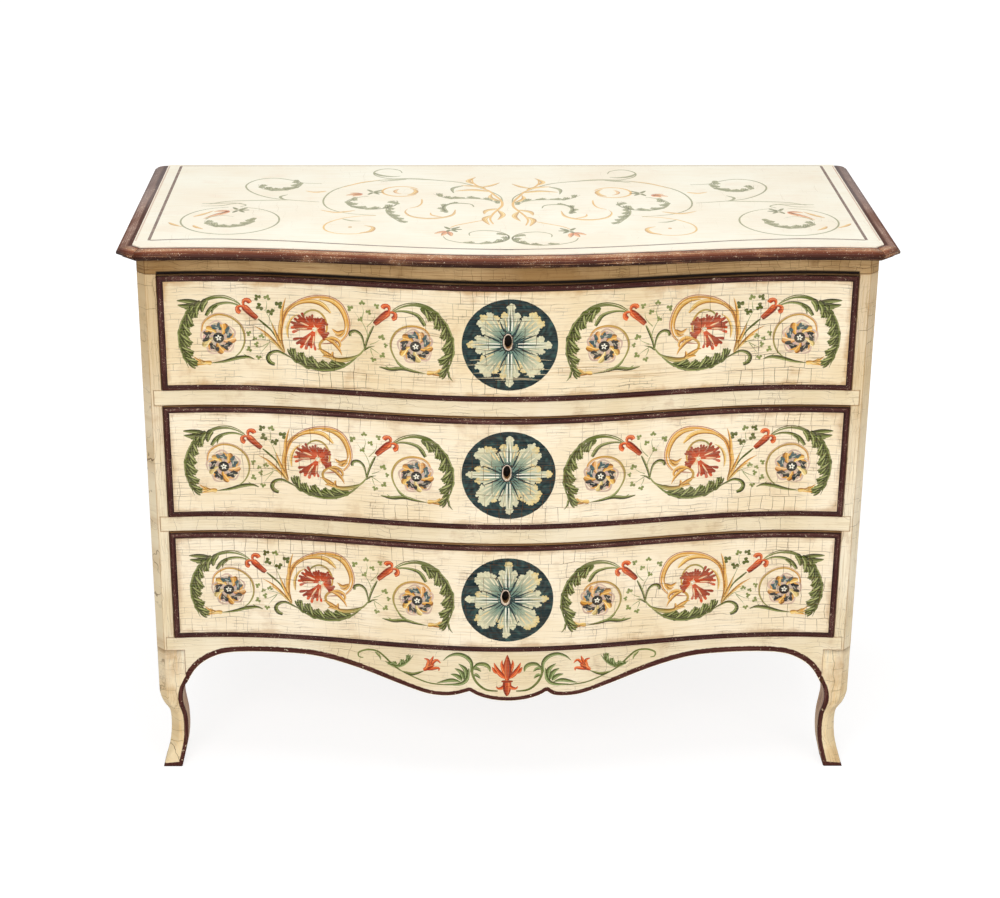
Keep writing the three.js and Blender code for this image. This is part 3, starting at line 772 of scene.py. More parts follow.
def dots(path: Line) -> Sequence[Point]:
    """The points of a path, however it is written."""
    return [tuple(map(float, dot.split(","))) for dot in path.split()] if isinstance(path, str) else path


def polar(centre: Point, reach: float, bearing: float) -> Point:
    """The place so far out from a centre on a bearing in radians."""
    return centre[0] + reach * math.cos(bearing), centre[1] + reach * math.sin(bearing)


def arc(centre: Point, radius: float, start: float, end: float) -> list[Point]:
    """Points round a circle, from one bearing to another in degrees."""
    steps = 16
    return [polar(centre, radius, math.radians(start + (end - start) * i / steps)) for i in range(steps + 1)]


def curve(
    before: Sequence[float], start: Sequence[float], end: Sequence[float], after: Sequence[float], t: float,
) -> tuple[float, ...]:
    """Finds a place on the smooth curve through four others.

    Args:
        before, start, end, after: the four places.
        t: the share of the way from start to end.

    Returns:
        The place.
    """
    return tuple(
        0.5 * (2 * b + (c - a) * t + (2 * a - 5 * b + 4 * c - d) * t**2 + (3 * b - 3 * c + d - a) * t**3)
        for a, b, c, d in zip(before, start, end, after)
    )


class Profile(Enum):
    """How a brush stroke swells along its length, from 0 to 1: each is a list of shares of its width."""

    LINE = (0.5, 0.9, 1.0, 1.0, 1.0, 0.9, 0.5)
    RULED = (1.0, 1.0)
    LEAF = (0.15, 0.7, 1.0, 0.95, 0.75, 0.45, 0.05)
    TAPER = (0.9, 1.0, 0.9, 0.72, 0.52, 0.3, 0.04)
    CLUB = (0.3, 0.42, 0.6, 0.82, 1.0, 0.92, 0.3)
    DROP = (0.4, 0.9, 1.0, 0.95, 0.8, 0.55, 0.12)
    TUBE = (0.7, 1.0, 1.0, 0.92, 0.86, 0.82, 0.6)
    CURL = (0.25, 0.4, 0.55, 0.7, 0.85, 1.0, 0.7)


LINE, RULED, LEAF, TAPER, CLUB, DROP, TUBE, CURL = Profile


@dataclass(frozen=True)
class Hue:
    """A pigment as the brush leaves it: its body, the loaded dark edge and the thin light edge."""

    body: str
    dark: str
    light: str

    def shaded(self) -> Hue:
        """What it leaves as a dark streak."""
        return Hue(self.dark, self.dark, self.body)

    def lit(self) -> Hue:
        """What it leaves as a light streak."""
        return Hue(self.light, self.body, self.light)


LEAF_GREEN = Hue("#505A20", "#262A0E", "#A3A766")
MOSS = Hue("#7D8748", "#4A5A2B", "#B2B478")
FRESH_GREEN = Hue("#64743A", "#38451D", "#A8B47C")
SAGE = Hue("#80845A", "#565A38", "#A9AC82")
OCHRE = Hue("#D5963E", "#8B571F", "#EFC97C")
GOLD = Hue("#DCA850", "#B3803A", "#EFCF8C")
STRAW = Hue("#E0B158", "#A9742C", "#F2DA98")
VERMILION = Hue("#CE4A1C", "#8A2610", "#EC8A4C")
BRICK = Hue("#93301A", "#5E190D", "#BE5533")
MAUVE = Hue("#CDAE9A", "#9E8078", "#DEC6B2")
INK = Hue("#23282B", "#0E1012", "#3B4A50")
SLATE = Hue("#3A5457", "#18262B", "#7E9C9A")
PEACH = Hue("#E0A868", "#AB6C2C", "#F2D5A4")
WHITE = Hue("#F4EEDA", "#CFCFB4", "#FFFDF2")
TEAL = Hue("#22373A", "#0F1E22", "#34544F")
SEA_GREEN = Hue("#6A8678", "#2E4E4B", "#98AD95")
PALE_LEAF = Hue("#D5CFAC", "#94A088", "#ECE4C8")
MIST = Hue("#A3AE90", "#768C78", "#C6CAAC")
BUTTER = Hue("#DEC27C", "#A99359", "#F0E0AE")
PLUM = Hue("#5A3631", "#3E201E", "#7A564C")
GESSO = Hue("#E2C9B6", "#A97F68", "#F2E2D2")
BARE = Hue("#E6D3AC", "#C9AF80", "#F2E6CC")
BROWN = Hue("#A8793F", "#7E5528", "#C49A5E")


@dataclass
class Brushwork:
    """Paint laid on a surface: thin domed strokes whose edges dip under it, gathered into one mesh.

    Attributes:
        surface: gives the place in space for a place on the surface and a height off it.
        seed: what the small differences from stroke to stroke come from.
        thickness: how far the first layer stands off the surface, and each further layer off the one below.
        mirrored: whether what is drawn is turned over to the other half.
    """

    surface: Surface
    seed: int
    thickness: float = 0.1
    layer_step: float = 0.045
    sunk: float = 0.12
    step: float = 2.6  # from one row of points to the next
    cover: float = 1.0
    mirrored: bool = False
    shift: Point = (0.0, 0.0)
    mesh: bmesh.types.BMesh = field(default_factory=bmesh.new)

    def __post_init__(self) -> None:
        """Readies the colour layer and the small differences."""
        self.colours = self.mesh.verts.layers.float_color.new("pigment")
        self.chance = random.Random(self.seed)

    def place(
        self, u: float, v: float, lift: float, colour: Sequence[float], cover: float,
    ) -> bmesh.types.BMVert:
        """Adds one point of paint.

        Args:
            u, v: its place on the surface.
            lift: its height off the surface.
            colour: its colour in linear light.
            cover: how well it hides what is under it.

        Returns:
            The point.
        """
        x = -u if self.mirrored else u
        vertex = self.mesh.verts.new(self.surface(x + self.shift[0], v + self.shift[1], lift))
        vertex[self.colours] = (*colour[:3], cover * self.cover)
        return vertex

    def along(self, path: Line) -> list[Place]:
        """Runs a smooth line through points.

        Args:
            path: the points.

        Returns:
            Places on the line at even steps, each with its share of the way.
        """
        path = dots(path)
        if len(path) == 2:
            (ax, ay), (bx, by) = path
            n = max(4, round(math.dist(*path) / self.step))
            return [(ax + (bx - ax) * i / n, ay + (by - ay) * i / n, i / n) for i in range(n + 1)]
        last, parts = len(path) - 1, 8
        dense = [
            curve(path[max(i - 1, 0)], path[i], path[i + 1], path[min(i + 2, last)], k / parts)
            for i in range(last) for k in range(parts)
        ]
        dense.append(tuple(path[-1]))
        lengths = [0.0]
        for here, following in zip(dense, dense[1:]):
            lengths.append(lengths[-1] + math.dist(here, following))
        total = lengths[-1]
        count = max(5, round(total / self.step))
        points, k = [], 0
        for i in range(count + 1):
            want = total * i / count
            while k < len(lengths) - 2 and lengths[k + 1] < want:
                k += 1
            share = (want - lengths[k]) / max(lengths[k + 1] - lengths[k], 1e-9)
            (ax, ay), (bx, by) = dense[k], dense[k + 1]
            points.append((ax + (bx - ax) * share, ay + (by - ay) * share, i / count))
        return points

    def stroke(
        self, path: Line, width: float, hue: Hue, profile: Profile = LEAF, layer: int = 0,
        cover: float = 1.0, fade: Hue | None = None, flip: bool = False, aside: float = 0.0,
    ) -> None:
        """Lays one stroke of the brush.

        Args:
            path: the points it goes through.
            width: its width where it is widest.
            hue: its pigment.
            profile: how it swells along its length.
            layer: how many layers lie under it.
            cover: how well it hides what is under it.
            fade: the pigment that it has turned to at its end.
            flip: puts the dark edge on its left instead of its right.
            aside: moves it to its left by this share of the half width of a stroke three times as wide.
        """
        points = self.along(path)
        shares = profile.value
        tint = self.chance.uniform(0.9, 1.1)
        edge = (-1.0, -0.5, 0.5, 1.0)
        tones = ("light", "body", "body", "dark")
        if flip != self.mirrored:
            tones = tones[::-1]
        top = self.thickness + layer * self.layer_step
        rows = []
        for i, (u, v, t) in enumerate(points):
            u0, v0, _ = points[max(i - 1, 0)]
            u1, v1, _ = points[min(i + 1, len(points) - 1)]
            length = math.hypot(u1 - u0, v1 - v0) or 1.0
            side_u, side_v = -(v1 - v0) / length, (u1 - u0) / length
            spot = t * (len(shares) - 1)
            k = min(int(spot), len(shares) - 2)
            half = width / 2 * (shares[k] + (shares[k + 1] - shares[k]) * (spot - k))
            u, v = u + side_u * half * 3 * aside, v + side_v * half * 3 * aside
            row = []
            for across, tone in zip(edge, tones):
                start = linear(getattr(hue, tone))
                end = linear(getattr(fade or hue, tone))
                colour = [min(1.0, (a + (b - a) * t) * tint) for a, b in zip(start[:3], end[:3])]
                ended = i in (0, len(points) - 1)
                lift = -self.sunk if ended or abs(across) == 1 else top
                spot_u, spot_v = u + side_u * half * across, v + side_v * half * across
                row.append(self.place(spot_u, spot_v, lift, colour, cover))
            rows.append(row)
        join_rows(self.mesh, rows)

    def bold(
        self, path: Line, width: float, hue: Hue, profile: Profile = LEAF, layer: int = 0,
        fade: Hue | None = None, flip: bool = False,
    ) -> None:
        """Lays a stroke as a loaded brush leaves it, with a dark streak on one side and a light one opposite.

        Args:
            path, width, hue, profile, layer, fade: as for a stroke.
            flip: puts the dark streak on its left instead of its right.
        """
        self.stroke(path, width, hue, profile, layer, fade=fade, flip=flip)
        way = 1 if flip else -1
        last = fade or hue
        self.stroke(path, width / 3, hue.shaded(), profile, layer + 1, fade=last.shaded(), aside=way * 0.55)
        self.stroke(path, width / 4, hue.lit(), profile, layer + 1, fade=last.lit(), aside=-way * 0.45)

    def acanthus(
        self, spine: Line, width: float, lobes: int, length: float, side: int, hue: Hue, start: float = 0.06,
        end: float = 0.9,
    ) -> None:
        """Paints a leaf that follows a curve: a stem down its outer edge and the pointed lobes it bears.

        Args:
            spine: the points it follows, from its root to its tip.
            width: the width of the stem where it is widest.
            lobes: how many lobes it has.
            length: the length of the longest lobe.
            side: 1 for lobes on the left as it grows, -1 for the right.
            hue: its pigment.
            start, end: where the first and the last lobe spring, as shares of the way.
        """
        points = self.along(spine)
        self.bold(spine, width, hue, LEAF, 0, flip=side > 0)
        for i in range(lobes):
            t = start + (end - start) * i / (lobes - 1)
            k = min(int(t * (len(points) - 1)), len(points) - 2)
            (u, v, _), (ahead_u, ahead_v, _) = points[k], points[k + 1]
            size = math.dist((u, v), (ahead_u, ahead_v)) or 1.0
            fu, fv = (ahead_u - u) / size, (ahead_v - v) / size
            reach = length * (0.72 + 0.28 * math.sin(math.pi * (0.2 + 0.6 * t)))
            reach *= self.chance.uniform(0.9, 1.12)

            def at(forward: float, out: float) -> Point:
                """A place beside the stem, in shares of the lobe's length."""
                aside = side * out
                return u + (fu * forward - fv * aside) * reach, v + (fv * forward + fu * aside) * reach

            layer = 1 + i % 2
            body = (at(-0.7, 0.08), at(-0.1, 0.24), at(0.3, 0.5), at(0.46, 0.86))
            self.stroke(body, reach * 0.74, hue, DROP, layer, flip=side < 0)
            for forward, out, wide in (
                (0.8, 0.5, 0.32), (0.04, 0.74, 0.3), (0.66, 0.76, 0.32), (0.32, 0.94, 0.34),
            ):
                path = (at(forward * 0.4 - 0.2, out * 0.3), at(forward * 0.75, out * 0.72), at(forward, out))
                self.bold(path, reach * wide, hue, DROP, layer + 1, flip=side < 0)
            for path, wide, tone, over in (
                ((at(-0.3, 0.02), at(0.16, 0.26), at(0.6, 0.42)), 0.18, hue.shaded(), layer + 2),
                ((at(-0.5, 0.0), at(-0.2, 0.34), at(0.05, 0.64)), 0.12, hue.shaded(), layer + 2),
                ((at(-0.36, 0.1), at(0.0, 0.4), at(0.3, 0.84)), 0.15, hue.lit(), 6),
            ):
                self.stroke(path, reach * wide, tone, LEAF, over)

    def disc(
        self, centre: Point, radius: float, hue: Hue, layer: int = 0, cover: float = 1.0,
        mottle: float = 0.12,
    ) -> None:
        """Lays a round patch of paint.

        Args:
            centre: its middle.
            radius: its radius.
            hue: its pigment.
            layer: how many layers lie under it.
            cover: how well it hides what is under it.
            mottle: how much its tone varies.
        """
        around = max(12, round(2 * math.pi * radius / self.step))
        rings = max(2, round(radius / self.step / 1.6))
        top = self.thickness + layer * self.layer_step
        body, dark = linear(hue.body), linear(hue.dark)
        rows = []
        for i in range(rings + 1):
            row = []
            for k in range(around):
                share = self.chance.uniform(0, 1)
                colour = [(a + (b - a) * share) * self.chance.uniform(1 - mottle, 1 + mottle)
                          for a, b in zip(body[:3], dark[:3])]
                u, v = polar(centre, radius * i / rings, 2 * math.pi * k / around)
                row.append(self.place(u, v, -self.sunk if i == rings else top, colour, cover))
            rows.append(row)
        join_rows(self.mesh, rows[1:], closed=True)
        for vertex in rows[0][1:]:
            self.mesh.verts.remove(vertex)
        for k in range(around):
            self.mesh.faces.new((rows[0][0], rows[1][(k + 1) % around], rows[1][k])).smooth = True

    def finish(self, name: str, body: str, material: Material, slot: str) -> bpy.types.Object:
        """Turns what was laid into one piece.

        Args:
            name: the piece's name.
            body: the body that carries it.
            material: its finish.
            slot: not used.

        Returns:
            The piece.
        """
        bmesh.ops.recalc_face_normals(self.mesh, faces=self.mesh.faces)
        outward = Vector(self.surface(0.0, 0.0, 1.0)) - Vector(self.surface(0.0, 0.0, 0.0))
        for face in self.mesh.faces:
            if face.normal.dot(outward) < 0:
                face.normal_flip()
        return make_piece(name, body, self.mesh, material)


@dataclass
class Studio:
    """The camera, the lamps and the floor."""

    camera_place: Place = (-93.0, -3451.0, 1882.5)
    pitch: float = 21.75  # degrees down
    yaw: float = -0.07
    lens: float = 79.38
    sensor: float = 36.0
    shift: Point = (0.05, -0.007)
    floor_half: float = 9000.0
    shadow_fades: Point = (1.0, 2.4)  # metres from the middle
    # Square softboxes: name, place and target in metres, side and power
    lamps: tuple[tuple[str, Place, Place, float, float], ...] = (
        ("overhead softbox", (0.0, -0.2, 3.1), (0.0, 0.0, 0.6), 2.2, 40.0),
        ("front softbox", (-1.1, -3.6, 2.3), (0.0, 0.0, 0.45), 2.4, 70.0),
        ("fill softbox", (1.9, -3.2, 1.2), (0.0, 0.0, 0.45), 2.2, 33.0),
    )

    def build(self) -> None:
        """Makes all of it."""
        scene = bpy.context.scene
        scene.view_settings.view_transform = "Standard"
        data = bpy.data.cameras.new("camera")
        data.lens, data.sensor_width, data.clip_end = self.lens, self.sensor, 100
        data.shift_x, data.shift_y = self.shift
        scene.camera = self.hang("camera", data, Vector(self.camera_place) * MM)
        scene.camera.rotation_euler = (math.radians(90 - self.pitch), 0, math.radians(self.yaw))
        for name, place, target, size, power in self.lamps:
            data = bpy.data.lights.new(name, "AREA")
            data.shape, data.size, data.energy = "SQUARE", size, power
            lamp = self.hang(name, data, place)
            lamp.rotation_euler = (Vector(target) - Vector(place)).to_track_quat("-Z", "Y").to_euler()
        self.world(scene)
        self.floor()

    def hang(self, name: str, data: bpy.types.ID, place: Sequence[float]) -> bpy.types.Object:
        """Puts a new object at a place in metres.

        Args:
            name: its name.
            data: its camera, lamp or mesh.
            place: where it goes.

        Returns:
            The object.
        """
        thing = bpy.data.objects.new(name, data)
        thing.location = place
        bpy.context.scene.collection.objects.link(thing)
        return thing

    def world(self, scene: bpy.types.Scene) -> None:
        """Lights the room softly and shows white where nothing stands.

        Args:
            scene: the scene.
        """
        world = bpy.data.worlds.new("white room")
        add = blank_tree(world)
        strength = add(RANGE, (self.seen(add), 0, 1, 0.34, 1.0))
        light = add("Background", {"Color": (1, 1, 1, 1), "Strength": strength})
        add("OutputWorld", {"Surface": light}, None)
        scene.world = world

    def seen(self, add: AddNode) -> Socket:
        """Tells the rays that show the background, by themselves or in a gloss.

        Args:
            add: adds a node.

        Returns:
            A socket that is 1 for those rays and 0 for others.
        """
        rays = add("LightPath").node.outputs
        gloss = add(MATH, (rays["Is Glossy Ray"], rays["Is Transmission Ray"]), operation="MAXIMUM")
        return add(MATH, (rays["Is Camera Ray"], gloss), operation="MAXIMUM")

    def floor(self) -> None:
        """Lays a pale floor that shows white but keeps the shadow."""
        mesh = bmesh.new()
        bmesh.ops.create_grid(mesh, x_segments=1, y_segments=1, size=self.floor_half * MM)
        data = bpy.data.meshes.new("floor")
        mesh.to_mesh(data)
        mesh.free()
        floor = self.hang("floor", data, (0, 0, 0))
        material = bpy.data.materials.new("pale studio floor")
        add = blank_tree(material)
        seen = self.seen(add)
        place = add("TexCoord", output="Object")
        away = add(VECTOR, (place,), "Value", operation="LENGTH")
        white = add(RANGE, (away, *self.shadow_fades, 0.82, 1.0))
        glow = add(MATH, (white, seen), operation="MULTIPLY")
        tone = add(RANGE, (seen, 0, 1, 0.8, 0.3))
        paint = add("BsdfDiffuse", {"Color": tone})
        light = add("Emission", {"Strength": glow})
        both = add("AddShader", (paint, light))
        add("OutputMaterial", {"Surface": both}, None)
        data.materials.append(material)


@dataclass
class ScrollPanel(Brushwork):
    """The painted scrolls on one half of a drawer front, drawn for the left half.

    Places are millimetres from the middle of the front.
    """

    def paint(self) -> None:
        """Paints the whole half."""
        self.sprigs()
        self.outer_acanthus()
        self.trumpet((-408, 45), (-387, 25))
        self.stroke("-387,26 -378,17 -368,8 -356,-6", 3.2, LEAF_GREEN, TAPER)
        self.rosette((-449, -7), 0.4)
        self.ring("-475,0 -472,16 -462,26 -448,31 -430,27 -415,15 -409,0 -409,-15 -416,-30 -428,-41")
        self.tail("-393,-42 -404,-38 -421,-40 -442,-46 -464,-49")
        self.bud((-466, -48), -1)
        self.ochre_scroll()
        self.bottom_acanthus()
        self.carnation((-297, 12))
        self.trumpet((-183, 46), (-206, 25))
        self.inner_stems()
        self.rosette((-142, -7), 1.7)
        self.ring("-119,4 -122,15 -131,23 -146,26 -161,23 -173,14 -180,0 -180,-13 -174,-28 -165,-38")
        self.inner_acanthus()

    def outer_acanthus(self) -> None:
        """The leaf that closes the panel at its end, with the arch that grows from it."""
        arch = "-412,47 -426,55 -442,59 -460,57 -476,49 -488,40"
        self.stroke(arch, 7, MOSS, CLUB, fade=LEAF_GREEN)
        self.stroke(arch, 2.2, LEAF_GREEN, LEAF, 1, aside=-1.0)
        self.acanthus("-482,46 -497,33 -506,14 -510,-6 -508,-25 -503,-41 -497,-58", 7, 6, 22, 1, LEAF_GREEN)
        for path, width, layer in (
            ("-476,50 -495,53 -512,54", 10, 2), ("-476,50 -496,45 -511,47", 12, 2),
            ("-476,50 -492,42 -501,41", 11, 2), ("-464,56 -471.5,47 -473,34", 13, 3),
            ("-474,53 -481.5,44 -483,31", 14, 3), ("-482,47 -489.5,43 -491,35", 11, 3),
        ):
            self.bold(path, width, LEAF_GREEN, DROP, layer)
        self.bold("-410,44 -428,50 -444,49 -458,42 -468,28", 8.5, MOSS, CURL, 1, fade=LEAF_GREEN)
        self.bold("-447,47 -456,40 -458,31", 5, LEAF_GREEN, DROP, 3)

    def trumpet(self, mouth: Point, base: Point) -> None:
        """A red trumpet flower: its tube and the two rolled lips.

        Args:
            mouth, base: the two ends of its tube.
        """
        length = math.dist(mouth, base)
        fu, fv = (mouth[0] - base[0]) / length, (mouth[1] - base[1]) / length

        def at(forward: float, aside: float) -> Point:
            """A place so far ahead of the mouth and so far to its left."""
            return mouth[0] + fu * forward - fv * aside, mouth[1] + fv * forward + fu * aside

        self.bold((at(2, 0), at(-length / 2, 0.6), at(-length, 0)), 13.5, VERMILION, TUBE, 2, fade=BRICK)
        for way in (-1, 1):
            lip = (at(-2, 0), at(4, 3 * way), at(6, 8 * way), at(1, 12 * way), at(-4, 10.5 * way))
            self.bold(lip, 10.5, VERMILION, CURL, 4, flip=way > 0)
        self.stroke((at(-5, -1.5), at(-length * 0.7, -1)), 1.6, BRICK, LEAF, 6)

    def rosette(self, centre: Point, turn: float) -> None:
        """A round flower with five dark patches that swirl about a white eye.

        Args:
            centre: its middle.
            turn: the bearing of its first patch.
        """
        self.disc(centre, 27, MAUVE, cover=0.8, mottle=0.3)
        chance = self.chance
        at = partial(polar, centre)
        patches = [turn + i * 2 * math.pi / 5 for i in range(5)]
        for angle, hue in zip(patches, (OCHRE, STRAW, BUTTER, OCHRE, PEACH)):
            between = angle + math.pi / 5
            petal = (at(7, between - 0.4), at(16, between - 0.1), at(chance.uniform(25, 29), between + 0.2))
            self.bold(petal, chance.uniform(13, 16.5), hue, CLUB, 1)
            self.stroke((at(12, between), at(20, between + 0.3), at(26, between + 0.6)), 4.5, OCHRE, LEAF, 3)
            self.stroke((at(23, angle - 0.5), at(28, angle), at(26, angle + 0.6)), 4, MAUVE, LEAF, 2)
        for angle in patches:
            hue = SLATE if math.sin(angle) > 0.3 else INK
            for inner, outer, sway in ((12, 20, -0.4), (13, 25, -0.12), (13, 22, 0.16), (14, 25, 0.42)):
                far = outer + chance.uniform(-2, 2)
                patch = (at(inner, angle + sway * 0.6), at(far, angle + sway + chance.uniform(-0.08, 0.12)))
                self.stroke(patch, chance.uniform(8, 10), hue, DROP, 4)
            self.stroke((at(15, angle - 0.3), at(20, angle + 0.3)), 3, hue.lit(), LEAF, 6, 0.6)
        self.disc(centre, 10.5, INK, 5)
        for angle in patches:
            self.stroke((centre, at(6, angle)), 4.6, WHITE, DROP, 7)

    def ring(self, path: Line) -> None:
        """The ochre tendril round a rosette, which turns green where it meets the tail."""
        self.stroke(path, 4, OCHRE, LINE, 1, fade=MOSS)
        self.stroke(dots(path)[:-2], 1.3, BRICK, LINE, 2, 0.7, aside=1.2)

    def tail(self, path: Line) -> None:
        """The long low leaf under a rosette.

        Args:
            path: the points it goes through.
        """
        x, y = dots(path)[1]
        self.bold(path, 8.5, LEAF_GREEN)
        self.stroke(((x, y), (x - 8, y + 6)), 3, MOSS, TAPER, 1)

    def bud(self, base: Point, way: int) -> None:
        """A small yellow bud with pointed petals.

        Args:
            base: where it grows from.
            way: 1 if it points to the right, -1 to the left.
        """
        x, y = base
        for dx, dy, hue in ((24, 11, OCHRE), (27, 3, STRAW), (22, -5, OCHRE), (16, 8, STRAW)):
            petal = ((x - way * 3, y), (x + way * dx * 0.5, y + dy * 0.25 - 1), (x + way * dx, y + dy))
            self.bold(petal, 6, hue, LEAF, 1)
        self.bold(((x - way * 6, y - 1), (x + way * 8, y + 1)), 9, STRAW, DROP, 3)

    def sprigs(self) -> None:
        """The light sprigs of ivy in the gaps: their stems, and their leaves with three points."""
        for path in (
            "-362,4 -366,20 -372,34 -380,46", "-370,30 -362,40 -358,46", "-374,38 -372,50 -374,57",
            "-352,-22 -366,-12 -380,-8 -396,-3", "-368,-12 -382,-20 -396,-24", "-370,-14 -380,-26 -386,-34",
            "-221,-14 -216,6 -222,24 -232,38 -238,48", "-218,20 -206,34 -204,48", "-226,30 -222,44 -224,54",
            "-214,-8 -204,-4 -196,2", "-214,-12 -204,-18 -196,-24", "-212,-14 -210,-22 -206,-30",
        ):
            self.stroke(path, 1.9, MOSS, TAPER, 0, 0.9)
        for x, y, size, turn in (
            (-385, 58, 7.5, 2.2), (-372, 58, 7, 1.2), (-381, 46, 8.5, 3.6), (-355, 47, 9, 0.8),
            (-367, 40, 8.5, 5.0), (-400, 0, 6, 2.6), (-382, -5, 6, 1.4), (-388, -17, 6, 3.0),
            (-400, -24, 6.5, 3.6), (-387, -36, 6, 4.6), (-392, -9, 5, 2.0), (-241, 48, 7, 2.4),
            (-228, 34, 6, 5.4), (-215, 43, 6, 1.0), (-224, 57, 6, 1.6), (-203, 54, 6, 0.6),
            (-195, 3, 7, 1.2), (-190, -8, 5, 0.2), (-195, -23, 6.5, 5.6), (-207, -30, 6, 4.4),
        ):
            long = size * 1.2
            for bearing, reach in ((turn, 1.0), (turn + 1.15, 0.8), (turn - 1.15, 0.8)):
                tip = polar((x, y), long * reach, bearing)
                self.stroke(((x, y), tip), long * 0.8, LEAF_GREEN if size > 7.2 else MOSS, DROP, 1)

    def ochre_scroll(self) -> None:
        """The big C of the middle, its inner leaves and the spikes at its foot."""
        outer = dots("-347,-30 -350,-6 -348,18 -339,40 -322,55 -300,63 -277,64 -260,56 -250,40 -246,21 "
                     "-250,5 -259,-6")
        self.stroke(outer, 4.6, OCHRE, LINE, 1)
        self.bold("-292,61 -274,60 -260,51 -252,36 -250,20 -254,8", 9.5, STRAW, LEAF, 2, fade=OCHRE)
        self.stroke(outer[2:], 1.6, BRICK, LINE, 3, 0.9, aside=1.3)
        self.bold("-346,-26 -352,-6 -352,12 -346,34 -334,49 -318,56", 9, OCHRE, LEAF, 1)
        self.bold("-341,38 -324,52 -303,57 -286,53 -272,39", 9.5, OCHRE, CLUB, 2, fade=STRAW)
        self.bold("-350,10 -349,38 -342,62", 6.5, OCHRE, LEAF, 3)
        self.bold("-340,-6 -341,12 -334,28 -322,36", 6, STRAW, LEAF, 1)
        self.stroke("-318,28 -312,38 -301,43 -290,40 -282,30 -279,15 -283,2", 4.6, MOSS, LINE, fade=OCHRE)
        self.bold("-250,14 -262,8 -272,15", 8, OCHRE, LEAF, 3)
        self.bold("-250,14 -259,3 -268,6", 6, OCHRE, LEAF, 3)
        lower = dots("-221,-15 -229,-25 -241,-32 -258,-36 -275,-33 -287,-24 -291,-13 -284,-4 -272,-1 -262,-5 "
                     "-259,-13 -265,-19")
        self.stroke(lower, 5.5, MOSS, LINE, 1, fade=OCHRE)
        self.bold(lower[1:6], 10, MOSS, LEAF, 2, fade=OCHRE)
        self.bold(lower[7:], 7.5, OCHRE, LEAF, 3)
        for path in (
            "-268,-34 -287,-22 -296,-20", "-268,-34 -281,-31 -288,-32", "-268,-34 -272,-30 -270,-22",
        ):
            self.bold(path, 6.5, OCHRE, DROP, 3)
        self.bold("-284,-2 -271,-7 -261,-18 -256,-29", 7.5, OCHRE, LEAF, 4)
        self.stroke("-259,-5 -272,-9 -292,-12", 3, BRICK, LEAF, 4, 0.8)
        for path, width, hue in (
            ("-346,-30 -374,1 -394,14", 6.5, OCHRE), ("-346,-30 -366,-8 -382,2", 6, STRAW),
            ("-346,-30 -359,0 -365,20", 7.5, OCHRE), ("-346,-30 -351,-12 -352,4", 6, STRAW),
            ("-346,-30 -360,-14 -372,-6", 5, STRAW),
        ):
            self.bold(path, width, hue, LEAF, 1)
        self.stroke("-350,-22 -364,4 -376,17 -387,26", 3.4, LEAF_GREEN, LINE)

    def bottom_acanthus(self) -> None:
        """The green leaf along the foot of the scroll."""
        self.bold("-334,-38 -345,-32 -357,-27 -368,-30 -373,-38 -369,-46 -361,-49", 9, LEAF_GREEN, CURL, 1)
        spine = dots("-232,-29 -246,-41 -263,-50 -282,-54 -300,-53 -316,-49 -331,-41 -343,-32")
        self.acanthus(spine, 7, 5, 21, -1, LEAF_GREEN, start=0.3, end=0.93)
        self.stroke(spine[:5], 4, MOSS, LEAF, 4, fade=LEAF_GREEN)

    def carnation(self, centre: Point) -> None:
        """The red flower inside the scroll: ragged petals round a pale eye.

        Args:
            centre: its middle.
        """
        for bearing, reach, width in (
            (3.0, 38, 15), (2.58, 34, 15), (2.08, 24, 12), (1.45, 19, 13), (0.75, 23, 14), (0.05, 16, 11),
            (5.7, 22, 14), (4.36, 33, 13), (3.95, 39, 16),
        ):
            def at(share: float, turn: float = 0.0) -> Point:
                """A place on the petal."""
                return polar(centre, reach * share, bearing + turn)

            lit = reach > 31
            layer = 1 if lit else 2
            for turn in (-0.34, -0.12, 0.12, 0.34):
                ends = (at(0.62, turn * 0.5), at(self.chance.uniform(0.98, 1.1), turn))
                self.stroke(ends, width * 0.42, VERMILION if lit and turn > 0 else BRICK, CLUB, layer)
            path = (at(0.1), at(0.5, 0.05), at(0.95))
            self.stroke(path, width, VERMILION, CLUB, layer, fade=BRICK, flip=bearing > 3.5)
            self.stroke((at(0.45, -0.1), at(0.92, -0.16)), width * 0.26, BRICK, LEAF, 5)
            self.stroke((at(0.55, 0.2), at(0.98, 0.3)), width * 0.2, BRICK, LEAF, 5, 0.8)
            if lit:
                self.stroke((at(0.3, 0.12), at(0.82, 0.16)), 3.4, PEACH, LEAF, 6, 0.55)
        self.disc((centre[0] - 1, centre[1]), 4, WHITE, 6)
        for bearing, reach in ((0.4, 7), (1.9, 9), (3.4, 8), (4.9, 12), (5.3, 15)):
            self.stroke((centre, polar(centre, reach, bearing)), 3, PEACH, TAPER, 7, 0.7)

    def inner_stems(self) -> None:
        """The stem that rises from the scroll to the second trumpet, and the curl beside it."""
        self.bold("-221,-17 -218,-4 -213,9 -206,24", 4.6, LEAF_GREEN, LINE, 1)
        self.bold("-221,-17 -223,-2 -227,8 -235,13 -243,10 -243,3", 7, LEAF_GREEN, CURL, 1)
        self.bold("-223,-18 -214,-12 -204,-10", 4.6, LEAF_GREEN, TAPER, 1)

